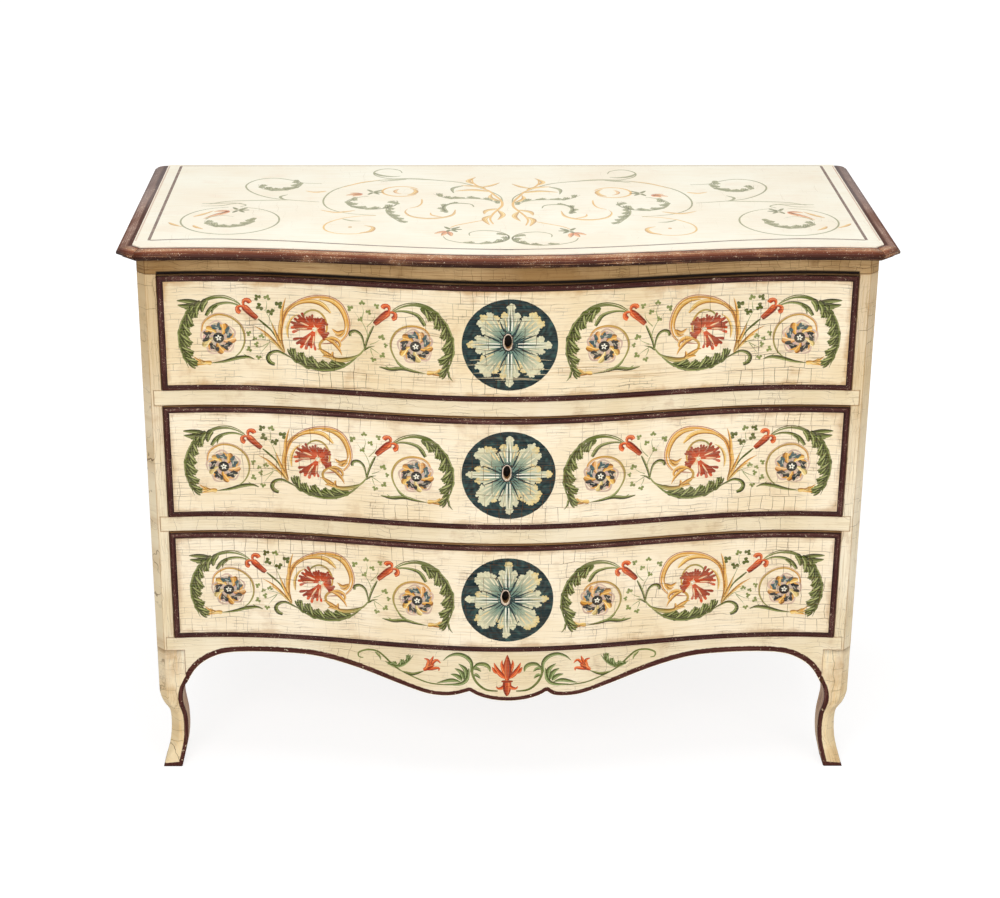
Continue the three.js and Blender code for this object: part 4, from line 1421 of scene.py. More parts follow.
    def inner_acanthus(self) -> None:
        """The leaf beside the medallion, its arch, its bud and the tail under the second rosette."""
        arch = "-178,47 -162,56 -144,60 -126,57 -110,49"
        self.stroke(arch, 7, MOSS, CLUB, fade=LEAF_GREEN)
        self.stroke(arch, 2.2, LEAF_GREEN, LINE, 1, aside=1.0)
        spine = "-128,56 -108,46 -95,30 -87,11 -84,-8 -87,-28 -92,-44 -91,-60"
        self.acanthus(spine, 6, 6, 22, -1, LEAF_GREEN)
        self.bold("-180,45 -167,49 -151,48 -137,42 -127,26", 8.5, MOSS, CURL, 1, fade=LEAF_GREEN)
        self.bold("-92,-44 -90,-54 -84,-62", 5, LEAF_GREEN, TAPER, 2)
        self.bud((-120, -49), 1)
        self.tail("-200,-43 -182,-46 -162,-44 -143,-48 -124,-51")
        self.bold("-174,-30 -164,-40 -148,-47", 5, MOSS, LEAF, 1)


@dataclass
class Medallion(Brushwork):
    """The dark disc in the middle of a drawer front, with eight pale acanthus leaves round the keyhole."""

    keyhole: Point = field(kw_only=True)  # half its width and half its height
    lift: float = field(kw_only=True)  # how far its middle lies above the middle of the front
    centre: Point = (3.0, -1.0)  # the disc's middle, from the middle of the front
    radius: float = 76.0
    rim: float = 1.5  # the width of bare gesso round the keyhole
    leaves: int = 8
    # The lobes of both kinds of leaf: their turn in radians, their reach and their width
    narrow: tuple[Place, ...] = ((-0.36, 45, 13), (0.36, 45, 13), (-0.2, 57, 14), (0.2, 57, 14), (0, 72, 16))
    broad: tuple[Place, ...] = ((-0.28, 54, 15), (0.28, 55, 15), (-0.16, 66, 17), (0.14, 68, 17), (0, 69, 17))

    def paint(self) -> None:
        """Paints the disc, then the leaves, then their ribs and the rim of the keyhole."""
        self.ground()
        step = 2 * math.pi / self.leaves
        for i in range(self.leaves):
            bearing = math.pi / 2 + i * step + self.chance.uniform(-0.03, 0.03)
            self.leaf(bearing, self.broad if i % 2 else self.narrow)
        for i in range(40):
            bearing = i * math.pi / 20 + self.chance.uniform(-0.05, 0.05)
            self.ray(bearing, 0, self.chance.uniform(20, 34), 3.4, (TEAL, SEA_GREEN)[i % 2], 8)
        for i in range(self.leaves):
            self.ray(math.pi / 2 + (i + 0.5) * step, 3, 46, 4.5, TEAL, 7)
        for bearing in (-0.3, -0.12, 0.06, 0.22, 0.38, 0.5):
            self.ray(bearing, 0, self.chance.uniform(22, 30), 6, TEAL, 8)
        for i in range(0, self.leaves, 2):
            bearing = math.pi / 2 + i * step
            for aside in (-2.8, 2.8):
                ends = (self.at(bearing, self.clear(bearing) + 2, aside * 0.8), self.at(bearing, 42, aside),
                        self.at(bearing, 62, aside * 0.3))
                self.stroke(ends, 2.8, WHITE, TAPER, 10)
            self.ray(bearing, 2, 58, 2.2, TEAL, 9)
        self.chipped_rim()

    def clear(self, bearing: float) -> float:
        """Finds how far out paint can start without hanging over the keyhole.

        Args:
            bearing: the bearing from the disc's middle.

        Returns:
            The distance from the disc's middle.
        """
        reach = 8.0
        while True:
            x, y = self.at(bearing, reach)
            if math.hypot(x / self.keyhole[0] / 1.35, (y - self.lift) / self.keyhole[1] / 1.25) > 1:
                return reach
            reach += 0.5

    def ground(self) -> None:
        """Lays the dark disc, open round the keyhole."""
        around, rings = 96, 18
        body, dark, light = linear(TEAL.body), linear(TEAL.dark), linear(TEAL.light)
        rows = []
        for i in range(rings + 1):
            share = i / rings
            row = []
            for k in range(around):
                angle = 2 * math.pi * k / around
                ax, ay = (half * 1.04 * turn for half, turn in zip(self.keyhole, polar((0, 0), 1, angle)))
                bx, by = polar(self.centre, self.radius, angle)
                tone = self.chance.uniform(0, 1)
                other = light if self.chance.random() < 0.2 else dark
                colour = [a + (b - a) * tone for a, b in zip(body[:3], other[:3])]
                height = -self.sunk if i == rings else self.thickness
                u, v = ax + (bx - ax) * share, ay + (by - self.lift - ay) * share + self.lift
                row.append(self.place(u, v, height, colour, 1.0))
            rows.append(row)
        join_rows(self.mesh, rows, closed=True)

    def chipped_rim(self) -> None:
        """Bares the gesso round the keyhole, a little unevenly."""
        steps = 28
        wide, high = (half + self.rim * 0.4 for half in self.keyhole)
        chips = [self.chance.uniform(0.98, 1.1) for _ in range(steps)]
        path = []
        for i in range(steps + 1):
            x, y = polar((0, 0), chips[i % steps], 2 * math.pi * i / steps)
            path.append((wide * x, self.lift + high * y))
        self.stroke(path, self.rim * 1.2, GESSO, LINE, 11)

    def at(self, bearing: float, reach: float, aside: float = 0.0) -> Point:
        """A place on the disc: so far out on a bearing, and so far to its left."""
        return polar(polar(self.centre, reach, bearing), aside, bearing + math.pi / 2)

    def ray(
        self, bearing: float, start: float, end: float, width: float, hue: Hue, layer: int,
        fade: Hue | None = None,
    ) -> None:
        """Draws a thin line out from the keyhole, from so far off it."""
        path = (self.at(bearing, self.clear(bearing) + start), self.at(bearing, end))
        self.stroke(path, width, hue, TAPER, layer, fade=fade)

    def leaf(self, bearing: float, lobes: Sequence[Place]) -> None:
        """Draws one leaf: lobes with scalloped tips, and the creases between them.

        Args:
            bearing: which way it points.
            lobes: the turn, reach and width of each lobe.
        """
        chance = self.chance
        for layer, (aside, far, width) in enumerate(lobes):
            turn = bearing + aside
            reach = far * chance.uniform(0.95, 1.02)
            tip = chance.choice((PALE_LEAF, PALE_LEAF, BUTTER))
            root = bearing + aside * 0.5
            half, neck, end = (self.at(turn, reach * share) for share in (0.5, 0.8, 0.95))
            path = (self.at(root, self.clear(root)), half, neck, end)
            self.stroke(path, width, SEA_GREEN, CLUB, layer, fade=PALE_LEAF, flip=aside < 0)
            knuckle = self.at(turn, reach * 0.78)
            for sway in (-0.8, -0.4, 0.0, 0.4, 0.8):
                long = width * (0.84 - 0.3 * abs(sway)) * chance.uniform(0.9, 1.1)
                scallop = (knuckle, polar(knuckle, long, turn + sway))
                self.stroke(scallop, 6.5, PALE_LEAF, CLUB, layer + 1, fade=tip)
            self.stroke((half, self.at(turn, reach * 0.85)), 4.0, tip, LEAF, layer + 2, 0.6)
            for share, wide in ((1.25, 3.6), (0.6, 2.6)):
                length = reach * chance.uniform(0.6, 0.8)
                self.ray(bearing + aside * share, 3, length, wide, SEA_GREEN, layer + 3, MIST)

    def wear(self) -> None:
        """Paints the rubbed foot of the top drawer: scratches, and brown streaks on either side."""
        for x0, x1, z, width in (
            (-64, -22, -34, 1), (-48, 40, -55, 1.5), (-20, 62, -58, 1.1), (-55, -8, -47, 0.9),
            (10, 70, -41, 1), (24, 72, -50, 1.4), (-60, -30, -26, 0.8), (30, 68, -26, 0.9),
        ):
            self.stroke(((x0, z), ((x0 + x1) / 2, z + 1.2), (x1, z - 0.6)), width, BARE, LEAF, 12)
        for x0, x1, z, width, cover in (
            (62, 190, -46, 7, 0.3), (78, 300, -56, 5, 0.3), (70, 150, -38, 3, 0.35), (180, 330, -50, 4, 0.25),
            (-150, -72, -62, 5, 0.25), (300, 470, -62, 5, 0.2), (80, 230, -51, 1.2, 0.8),
            (74, 170, -43, 1.2, 0.8), (120, 290, -60, 1.2, 0.8), (-190, -80, -67, 1.0, 0.7),
        ):
            middle = ((x0 + x1) / 2, z + self.chance.uniform(-2, 2))
            self.stroke(((x0, z), middle, (x1, z)), width, BROWN, LEAF, 0, cover)


@dataclass
class DrawerFronts:
    """The three serpentine drawer fronts: field, bead frame, medallion and scrolls."""

    frame: dict
    bow: Bow
    bead_width: float = 9.0
    bead_proud: float = 2.0  # how far the bead stands out of the front
    bead_rebate: float = 3.0  # how deep it lies in it
    bead_gap: float = 0.3
    skin: float = 0.25  # how far the painted field stands in front of the wood
    keyhole: Point = (6.25, 12.0)  # half width and half height
    keyhole_lift: float = 4.0
    throat: float = 2.5  # how far the paint goes into the keyhole
    square: float = 19.0  # half the side of the patch round the keyhole, which has a mesh of its own
    columns: int = 96
    # The bead's two rolls in shares of its width and rise: start, end, foot and crest
    rolls: tuple[tuple[float, float, float, float], ...] = ((0.0, 0.3, 0.3, 0.72), (0.34, 1.0, 0.42, 1.0))
    rim_shade: float = 9.0  # how far in from the bead the field is stained darker: grime, and painted shade beside the proud bead
    middle: float = 3.0  # the painter's middle line lies this far to the right

    def build(self) -> None:
        """Makes every drawer's front."""
        plum = BEAD_PLUM.build()
        paints = [
            (cream.build(Grain.FRONT), cream.build(Grain.FRONT, "pigment"),
             replace(cream, name=f"{cream.name} and medallion", dry_share=0.06).build(Grain.FRONT, "pigment"))
            for cream in (HANDLED_CREAM, FIELD_CREAM)
        ]
        for drawer in DRAWERS:
            low, high = (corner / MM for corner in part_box(f"drawer_{drawer}_front"))
            field_paint, ornament_paint, medallion_paint = paints[drawer > DRAWERS[0]]
            self.field_skin(drawer, low, high, field_paint)
            self.bead(drawer, low, high, plum)
            self.ornament(drawer, (low.z + high.z) / 2, ornament_paint, medallion_paint)
            log.info("drawer %d front painted", drawer)

    def field_skin(self, drawer: int, low: Vector, high: Vector, paint: Material) -> None:
        """Makes the painted field inside the bead, with its keyhole.

        Args:
            drawer: the drawer's number.
            low, high: the corners of its front.
            paint: the finish.
        """
        inset = self.bead_width + self.bead_gap
        half, rise = high.x - inset, (high.z - low.z) / 2 - inset
        kw, kh = self.keyhole
        box, shade, around = self.square, self.rim_shade, 48
        ledge = (box * math.tan(i * math.pi / 4 / 6) for i in range(7))
        steps = sorted({round(s, 6) for t in ledge for s in (t, -t)})
        rows = [-rise, shade - rise, *steps, rise - shade, rise]
        edge = [half * i / self.columns * 2 - half for i in range(self.columns + 1)]
        columns = sorted({*(x for x in edge if abs(x) > box + 2), *steps, shade - half, half - shade})
        surface = self.bow.surface((low.z + high.z) / 2)
        mesh = bmesh.new()
        worn = mesh.verts.layers.float.new("worn")
        grid = {}

        def vertex(x: float, z: float, lift: float = self.skin) -> bmesh.types.BMVert:
            """Gives the point of the sheet at a place, and makes it when it is first asked for.

            Args:
                x, z: the place across and up.
                lift: its height off the wood.

            Returns:
                The point.
            """
            key = (round(x, 4), round(z, 4), lift)
            if key not in grid:
                grid[key] = mesh.verts.new(surface(x, z, lift))
                # the rim beside the bead is marked worn, which browns it: grime, and painted shade of the
                # proud bead
                grid[key][worn] = 1.0 if abs(x) > half - 1e-3 or abs(z) > rise - 1e-3 else 0.0
            return grid[key]

        for x0, x1 in zip(columns, columns[1:]):
            for z0, z1 in zip(rows, rows[1:]):
                if max(abs(x0), abs(x1), abs(z0), abs(z1)) > box + 1e-6:
                    corners = (vertex(x0, z0), vertex(x1, z0), vertex(x1, z1), vertex(x0, z1))
                    mesh.faces.new(corners).smooth = True
        square, oval, sunk = [], [], []
        for k in range(around):
            c, s = polar((0, 0), 1, 2 * math.pi * k / around)
            scale = box / max(abs(c), abs(s))
            square.append(vertex(round(c * scale, 6), round(s * scale, 6)))
            oval.append(vertex(kw * c + 1e-5, self.keyhole_lift + kh * s))
            sunk.append(vertex(kw * c * 0.93, self.keyhole_lift + kh * s * 0.95, -self.throat))
        join_rows(mesh, (square, oval, sunk), closed=True)
        bmesh.ops.recalc_face_normals(mesh, faces=mesh.faces)
        make_piece(f"drawer_{drawer}_painted_field", f"drawer_{drawer}", mesh, paint)

    def bead(self, drawer: int, low: Vector, high: Vector, plum: Material) -> None:
        """Runs the half-round bead round the edge of the front, mitred at its corners.

        Args:
            drawer: the drawer's number.
            low, high: the corners of its front.
            plum: the finish.
        """
        rise, width = self.bead_rebate + self.bead_proud, self.bead_width
        section = [(0.0, 0.0)]
        for start, end, foot, crest in self.rolls:
            for i in range(9):
                turn = math.pi * i / 8
                section.append((start + (end - start) * (0.5 - 0.5 * math.cos(turn)),
                                foot + (crest - foot) * math.sin(turn)))
        section.append((1.0, 0.0))
        rings = []
        for start, end, edge, in_z in ((high.x, low.x, high.z, -1), (low.x, high.x, low.z, 1)):
            for i in range(self.columns + 1):
                x = start + (end - start) * i / self.columns
                in_x = 0 if 0 < i < self.columns else (-1 if x > 0 else 1)
                ring = []
                for inward, out in section:
                    across = x + in_x * inward * width
                    face = self.bow.at(across) + self.bead_rebate - self.bead_gap
                    ring.append((across, face - out * (rise - self.bead_gap), edge + in_z * inward * width))
                rings.append(ring)
        make_piece(f"drawer_{drawer}_plum_bead", f"drawer_{drawer}", sweep(rings, closed=True), plum,
                   [f"drawer_{drawer}_bead"])

    def ornament(self, drawer: int, middle: float, paint: Material, medallion_paint: Material) -> None:
        """Paints the medallion and the scrolls of both halves.

        Args:
            drawer: the drawer's number.
            middle: the height of the middle of its front.
            paint, medallion_paint: the finishes of the scrolls and of the medallion.
        """
        surface = replace(self.bow, plane=self.bow.plane - self.skin).surface(middle)
        body = f"drawer_{drawer}"
        for side in SIDES:
            mirrored = side == "right"
            panel = ScrollPanel(surface, seed=drawer * 10 + mirrored, mirrored=mirrored,
                                shift=(2 * self.middle * mirrored, 0.0))
            panel.paint()
            panel.finish(f"{body}_{side}_scrolls", body, paint, "painted_drawer")
        medallion = Medallion(surface, seed=drawer * 10 + 5, keyhole=self.keyhole, lift=self.keyhole_lift)
        medallion.paint()
        if drawer == DRAWERS[0]:
            medallion.wear()
        medallion.finish(f"{body}_medallion", body, medallion_paint, "painted_drawer")


@dataclass
class TopScrolls(Brushwork):
    """The faded scrolls on one half of the top, drawn for the left half, and the plum lines round them.

    Places are millimetres from the middle of the top, across and to the back.
    """

    def paint(self) -> None:
        """Paints the scrolls."""
        self.outer_ring()
        self.back_spiral()
        self.big_scroll()
        self.column()
        self.front_flowers()

    def border(self) -> None:
        """Paints the lines along the side, the front and the back."""
        self.stroke(((-553, 270), (-553, -183)), 6.5, PLUM, RULED)
        self.stroke(((-573, 270), (-573, -186)), 3.0, MAUVE, RULED)
        front = "-553,-181 -500,-175 -440,-174 -350,-183 -300,-192 -200,-210 -100,-224 0,-231 5,-231"
        self.stroke(front, 5.5, PLUM, RULED, 1)
        self.stroke(((-556, 270), (5, 270)), 4.5, PLUM, RULED, 1, 0.6)

    def flower(self, base: Point, petals: Line, star: Point) -> None:
        """A red flower: petals from one point, and a green star of sepals behind it.

        Args:
            base: where the petals meet.
            petals: their tips.
            star: the middle of the star.
        """
        for dx, dy in dots("16,16 -11,18 12,-15 -9,-17 20,0"):
            self.stroke((star, (star[0] + dx, star[1] + dy)), 8.5, LEAF_GREEN, DROP, 1)
        for tip in dots(petals):
            middle = ((base[0] + tip[0]) / 2, (base[1] + tip[1]) / 2 + 3)
            self.bold((base, middle, tip), 12, VERMILION, LEAF, 3, fade=PEACH)

    def line(self, path: Line, hue: Hue = SAGE) -> None:
        """A thin stem."""
        self.stroke(path, 4.2, hue, LINE)

    def outer_ring(self) -> None:
        """The ring near the corner, with a leaf, a flower and ochre spikes."""
        self.line(arc((-438, -70), 78, 95, 440))
        self.line("-431,8 -420,20 -440,32 -470,30 -495,28")
        self.acanthus("-398,-58 -404,-86 -426,-106 -454,-106 -474,-90 -478,-66", 5, 6, 20, -1, SAGE)
        self.stroke("-478,-66 -470,-50 -450,-42 -430,-52", 4, SAGE, TAPER)
        self.flower((-442, -16), "-470,-20 -458,-42 -482,-62", (-430, -10))
        for path in (
            "-500,-50 -485,-35 -468,-12", "-535,-80 -524,-95 -508,-107", "-494,-96 -488,-108 -474,-120",
        ):
            self.bold(path, 9, GOLD, LEAF, 1)

    def back_spiral(self) -> None:
        """The spiral behind the ring."""
        self.line("-300,38 -350,50 -388,66 -418,100 -430,140 -415,176 -385,188 -352,172 -335,157 -302,152")
        self.acanthus("-346,176 -338,146 -352,118 -380,108 -404,124 -410,150", 5, 6, 20, -1, SAGE)
        self.line("-350,50 -400,48 -452,42 -482,24")
        self.stroke("-355,85 -368,70 -360,54 -345,50", 7, SAGE, LEAF, 1)
        self.stroke("-425,34 -445,26 -462,16 -495,14", 4, SAGE, LEAF, 1)

    def big_scroll(self) -> None:
        """The large scroll of the middle, the ring inside it and the curl behind it."""
        self.line("-8,0 -3,42 -12,86 -60,150 -104,172 -160,182 -205,174 -250,148 -283,108 -296,52 -287,4 "
                  "-256,-28 -205,-42")
        self.stroke("-205,176 -240,157 -272,124", 7, GOLD, LEAF, 1)
        self.bold("-292,106 -312,98 -330,108", 8, GOLD, LEAF, 1)
        self.bold("-240,-12 -272,-24 -300,-8", 8, GOLD, LEAF, 1)
        self.line(arc((-214, 35), 40, 100, 380))
        self.acanthus("-246,66 -258,38 -246,8 -218,-6 -188,4 -174,30 -184,52", 5, 6, 19, 1, SAGE)
        self.flower((-232, 84), "-256,92 -250,72 -262,78", (-216, 98))
        self.stroke(arc((-170, 103), 31, 20, 330), 5.5, GOLD, LINE, 1)
        self.bold(arc((-170, 103), 25, -70, 60), 11, GOLD, LEAF, 2)
        self.bold(arc((-164, 103), 16, 120, 260), 8, PEACH, LEAF, 2)
        self.line("-104,172 -150,186 -188,184 -214,204 -217,232 -198,250 -176,240 -170,220")
        self.bold("-218,224 -206,206 -186,198 -170,202", 10, SAGE, LEAF, 1)
        self.stroke("-160,180 -190,172 -208,162", 6, SAGE, LEAF, 1)

    def column(self) -> None:
        """The ochre column beside the middle line, with its green leaves."""
        stem = "-50,188 -50,158 -35,123 -24,106 -14,76 -5,46 -4,18 -10,-4 -20,-34 -25,-64 -20,-94"
        self.stroke(stem, 6, GOLD, LINE, 1)
        for path, width in (
            ("-28,118 -44,134 -72,140", 13), ("-20,100 -50,112 -82,104", 13), ("-50,150 -58,170 -44,196", 11),
            ("-38,128 -20,140 -4,160", 10), ("-6,40 -22,62 -20,88", 12), ("-10,-2 -30,-14 -34,-36", 12),
            ("-12,-10 -4,-40 -14,-70", 12), ("-20,-40 -34,-62 -26,-98", 12),
        ):
            self.bold(path, width, STRAW, LEAF, 2, fade=GOLD)
        self.acanthus("-12,28 -22,46 -42,57 -66,59 -88,58 -104,70 -118,90", 4.5, 6, 16, -1, SAGE)
        self.bold("-64,140 -84,122 -82,90", 9, SAGE, LEAF, 1)
        self.bold("-50,6 -55,24 -75,30 -91,24 -99,4 -93,-22", 9, SAGE, CURL, 1)
        self.acanthus("-93,-22 -99,4 -91,24 -75,30", 5, 4, 13, 1, SAGE)
        self.bold("-80,-6 -84,-37 -100,-54 -125,-60 -150,-48 -161,-22 -156,0", 9, GOLD, LEAF, 1)
        self.stroke("-100,-52 -118,-40 -120,-24", 6, GOLD, LEAF, 2)
        self.line("-156,0 -142,10 -135,30 -135,58", GOLD)
        self.acanthus("-192,6 -190,-24 -180,-54 -164,-88", 5, 5, 17, 1, SAGE)

    def front_flowers(self) -> None:
        """The curls and flowers nearest the front."""
        self.line("-205,-42 -234,-46 -262,-60 -284,-88 -286,-120 -268,-142 -238,-146 -214,-132 -208,-110",
                  STRAW)
        self.bold("-232,-142 -214,-132 -210,-110 -226,-98", 11, GOLD, LEAF, 1)
        self.disc((-246, -108), 4.5, GOLD, 1)
        self.stroke("-262,-60 -246,-72 -228,-74", 6, SAGE, LEAF, 1)
        self.line("-30,-66 -58,-84 -78,-98 -90,-114", GOLD)
        self.flower((-92, -132), "-86,-160 -102,-158 -114,-146", (-88, -122))
        self.line("-100,-158 -92,-180 -66,-196 -34,-198 -4,-184 2,-158 -14,-134 -40,-128 -58,-140 -58,-158")
        self.acanthus("-66,-196 -36,-200 -6,-186 2,-160 -12,-136", 5, 5, 16, 1, SAGE)


@dataclass
class Top:
    """The top board, its painted ground and lines, and the moulding round it."""

    frame: dict
    edge_steps: int = 150
    reach: float = 24.0
    step: float = 2.0  # the moulding starts this far below the top
    gap: float = 0.3
    swell: float = 38.0
    cant: float = 14.0
    paint_room: float = 0.3  # the ground lies this far under the top, and the painting fills it
    quirk: float = 0.9  # the depth of the groove in the thumb, at two of its points
    quirk_at: tuple[int, int] = (10, 11)
    # Shares of the moulding's reach and of its height
    fillet_share: float = 0.12
    cove_share: float = 0.62
    nose_share: float = 0.56
    listel_share: float = 0.12

    def build(self) -> None:
        """Makes the board and the five lengths of moulding."""
        board = soften(self.frame, "top_board", TOP_CREAM.build(Grain.TOP), radius=1.1)
        low, high = (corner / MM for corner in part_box("top_board"))
        for vertex in board.data.vertices:
            if vertex.co.z > (high.z - 0.05) * MM:
                vertex.co.z -= self.paint_room * MM
        self.thickness = high.z - low.z
        corner = high.x - self.cant
        bow = Bow(low.y + self.swell, corner, self.swell)
        places = (corner * (2 * i / self.edge_steps - 1) for i in range(self.edge_steps + 1))
        front = [(x, bow.at(x)) for x in places]
        left = [(low.x, high.y), (low.x, bow.plane + self.cant)]
        right = [(high.x, bow.plane + self.cant), (high.x, high.y)]
        line = [*left, *front, *right]
        last = len(line) - 1
        brown, plum = EDGE_BROWN.build(), SIDE_EDGE_PLUM.build()
        for name, start, end, paint in (
            ("top_moulding_left", 0, 1, plum), ("top_moulding_left_corner", 1, 2, brown),
            ("top_moulding_front", 2, last - 2, brown),
            ("top_moulding_right_corner", last - 2, last - 1, brown),
            ("top_moulding_right", last - 1, last, plum),
        ):
            self.moulding(name, line, start, end, high.z, paint)
        self.ornament(high.z - self.paint_room)
        log.info("top made")

    def ornament(self, top: float) -> None:
        """Paints the scrolls and the plum lines on both halves.

        Args:
            top: the height of the ground.
        """
        paint = TOP_CREAM.build(Grain.TOP, "pigment")
        for side in SIDES:
            mirrored = side == "right"
            for name, shift, cover in (("scrolls", (10.0, -8.0), 0.8), ("border", (0.0, 0.0), 0.9)):
                scrolls = TopScrolls(
                    lambda x, y, lift: (x, y, top + lift), 60 + mirrored, layer_step=0.018, step=4.0,
                    cover=cover, mirrored=mirrored, shift=shift if mirrored else (0.0, 0.0),
                )
                if name == "border":
                    scrolls.border()
                else:
                    scrolls.paint()
                scrolls.finish(f"top_{side}_{name}", CARCASS, paint, "painted_case")

    def section(self) -> list[Point]:
        """Draws the moulding's section: a fillet, a thumb with a quirk cut in it, a listel and a cove.

        Returns:
            Points round it, each a reach out from the board and a height from the top face.
        """
        nose = self.nose_share * self.thickness
        fillet = self.gap + self.fillet_share * self.reach
        points = [(self.gap, -self.step)]
        parts = 16
        for i in range(parts + 1):
            angle = math.pi / 2 * i / parts
            reach = fillet + (self.reach - fillet) * math.sin(angle)
            drop = self.step + (nose - self.step) * (1 - math.cos(angle))
            quirk = self.quirk if i in self.quirk_at else 0.0
            points.append((reach - quirk * math.sin(angle), -drop - quirk * math.cos(angle)))
        cove_end = self.cove_share * self.reach
        listel = nose + self.listel_share * self.thickness
        for i in range(7):
            angle = math.pi / 2 * i / 6
            reach = self.reach - (self.reach - cove_end) * math.sin(angle)
            points.append((reach, -(self.thickness - (self.thickness - listel) * math.cos(angle))))
        return [*points, (self.gap, -self.thickness)]

    def moulding(self, name: str, line: Line, start: int, end: int, top: float, paint: Material) -> None:
        """Sweeps the section along one stretch of the board's edge, mitred at its ends.

        Args:
            name: the node that it stands for.
            line: the board's edge, from the back on the left to the back on the right.
            start, end: the first and the last point of the stretch.
            top: the height of the top face.
            paint: the finish.
        """
        rings = []
        for i in range(start, end + 1):
            x, y = line[i]
            bx, by = line[max(i - 1, 0)]
            ax, ay = line[min(i + 1, len(line) - 1)]
            first = Vector((x - bx, y - by)) if i > 0 else Vector((ax - x, ay - y))
            second = Vector((ax - x, ay - y)) if i < len(line) - 1 else first
            first.normalize()
            second.normalize()
            one, two = Vector((first.y, -first.x)), Vector((second.y, -second.x))
            way = (one + two) / (1 + one.dot(two))
            if i == start and start > 0:
                x, y = x + second.x * self.gap, y + second.y * self.gap
            if i == end and end < len(line) - 1:
                x, y = x - first.x * self.gap, y - first.y * self.gap
            rings.append([(x + way.x * out, y + way.y * out, top + drop) for out, drop in self.section()])
        make_piece(f"painted_{name}", CARCASS, sweep(rings, closed=False), paint, [name])


@dataclass
class Foot:
    """A cabriole foot with soft arrises, a plum stripe down its inner edge and a plum sole.

    Attributes:
        frame: the loaded frame.
        node: the node that it stands for.
        stripe: the width of the plum stripe on the front.
        inner_stripe: and on the face towards the middle.
        sole: the height of the plum band round the sole.
        arris: how far the edges are rounded.
        finer: how many rings it has for each ring of the solid.
    """

    frame: dict
    node: str
    stripe: float = 6.5
    inner_stripe: float = 3.0
    sole: float = 6.5
    apron_end: float = 160.0  # above it the apron covers the inner edge
    arris: float = 1.8
    finer: int = 4
    cut_full: float = 40.0  # the cut corner dies away from this height down
    clear_of_stripe: float = 8.0  # so many widths of the stripe off, no plum is left

    def rings(self) -> list[tuple[float, ...]]:
        """Reads the rings of the solid.

        Returns:
            Each ring's height, outer, inner, front and back face, and its cut corner.
        """
        levels: dict[float, list[tuple[float, float]]] = {}
        for vertex in self.frame["nodes"][self.node].data.vertices:
            x, y, z = (value / MM for value in vertex.co)
            levels.setdefault(round(z, 2), []).append((abs(x), y))
        rings = []
        for z, points in sorted(levels.items()):
            front = min(y for _, y in points)
            outer = max(x for x, _ in points)
            cant = outer - max(x for x, y in points if y < front + 0.01)
            rings.append((z, outer, min(x for x, _ in points), front, max(y for _, y in points), cant))
        return rings

    def smooth_rings(self) -> list[tuple[float, ...]]:
        """Puts further rings on smooth curves between those of the solid.

        Returns:
            All rings, from the sole up, as the solid's are read.
        """
        rings = self.rings()
        last = len(rings) - 1
        result = []
        for i in range(last):
            before, start, end, after = rings[max(i - 1, 0)], rings[i], rings[i + 1], rings[min(i + 2, last)]
            for k in range(self.finer):
                t = k / self.finer
                ring = [min(max(value, min(b, c)), max(b, c))
                        for value, b, c in zip(curve(before, start, end, after, t), start, end)]
                ring[0] = start[0] + (end[0] - start[0]) * t
                ring[5] *= min(1.0, ring[0] / self.cut_full)
                result.append(tuple(ring))
        result.append(rings[last])
        sole = [tuple(a + (b - a) * z / result[1][0] for a, b in zip(result[0], result[1]))
                for z in (self.sole * 0.45, self.sole * 0.9, self.sole * 1.1) if z < result[1][0]]
        return [result[0], *sole, *result[1:]]

    def build(self, material: Material) -> None:
        """Makes the foot.

        Args:
            material: its finish.
        """
        mirror = -1 if self.node.startswith("left") else 1
        mesh = bmesh.new()
        plum, worn, blush = (mesh.verts.layers.float.new(name) for name in ("plum", "worn", "blush"))
        rows = []
        for z, outer, inner, front, back, cant in self.smooth_rings():
            corners = [
                (inner, front), (inner, back), (outer, back), (outer, front + cant), (outer - cant, front),
            ]
            if cant < 0.01:
                corners[3:] = [(outer, front + 0.01), (outer - 0.01, front)]
            row = []
            for i, corner in enumerate(corners):
                for neighbour in (corners[i - 1], corners[(i + 1) % len(corners)]):
                    share = min(self.arris / max(math.dist(corner, neighbour), 1e-3), 0.4)
                    x, y = (a + (b - a) * share for a, b in zip(corner, neighbour))
                    # How far off the inner edge it is, in widths of the stripe there
                    away = 0.0 if i == 0 else self.clear_of_stripe
                    if i == 1:
                        away = (back - front) / self.inner_stripe
                    elif i > 1 and y < front + 0.5:
                        away = (outer - cant - inner) / self.stripe
                    away += max(0.0, z - self.apron_end) / 10
                    if z <= self.sole:
                        away = min(away, z / self.sole)
                    vertex = mesh.verts.new((x * mirror, y, z))
                    vertex[plum] = 1 - away / 2
                    vertex[worn] = 0.6 if i == 4 else 0.3
                    vertex[blush] = 1.0 if len(row) in (1, 2) else 0.0
                    row.append(vertex)
            rows.append(row)
        join_rows(mesh, rows, closed=True)
        mesh.faces.new(rows[0])
        mesh.faces.new(rows[-1])
        bmesh.ops.recalc_face_normals(mesh, faces=mesh.faces)
        name = f"shaped_{self.node}"
        shade_evenly(make_piece(name, CARCASS, mesh, material, [self.node]), 80)


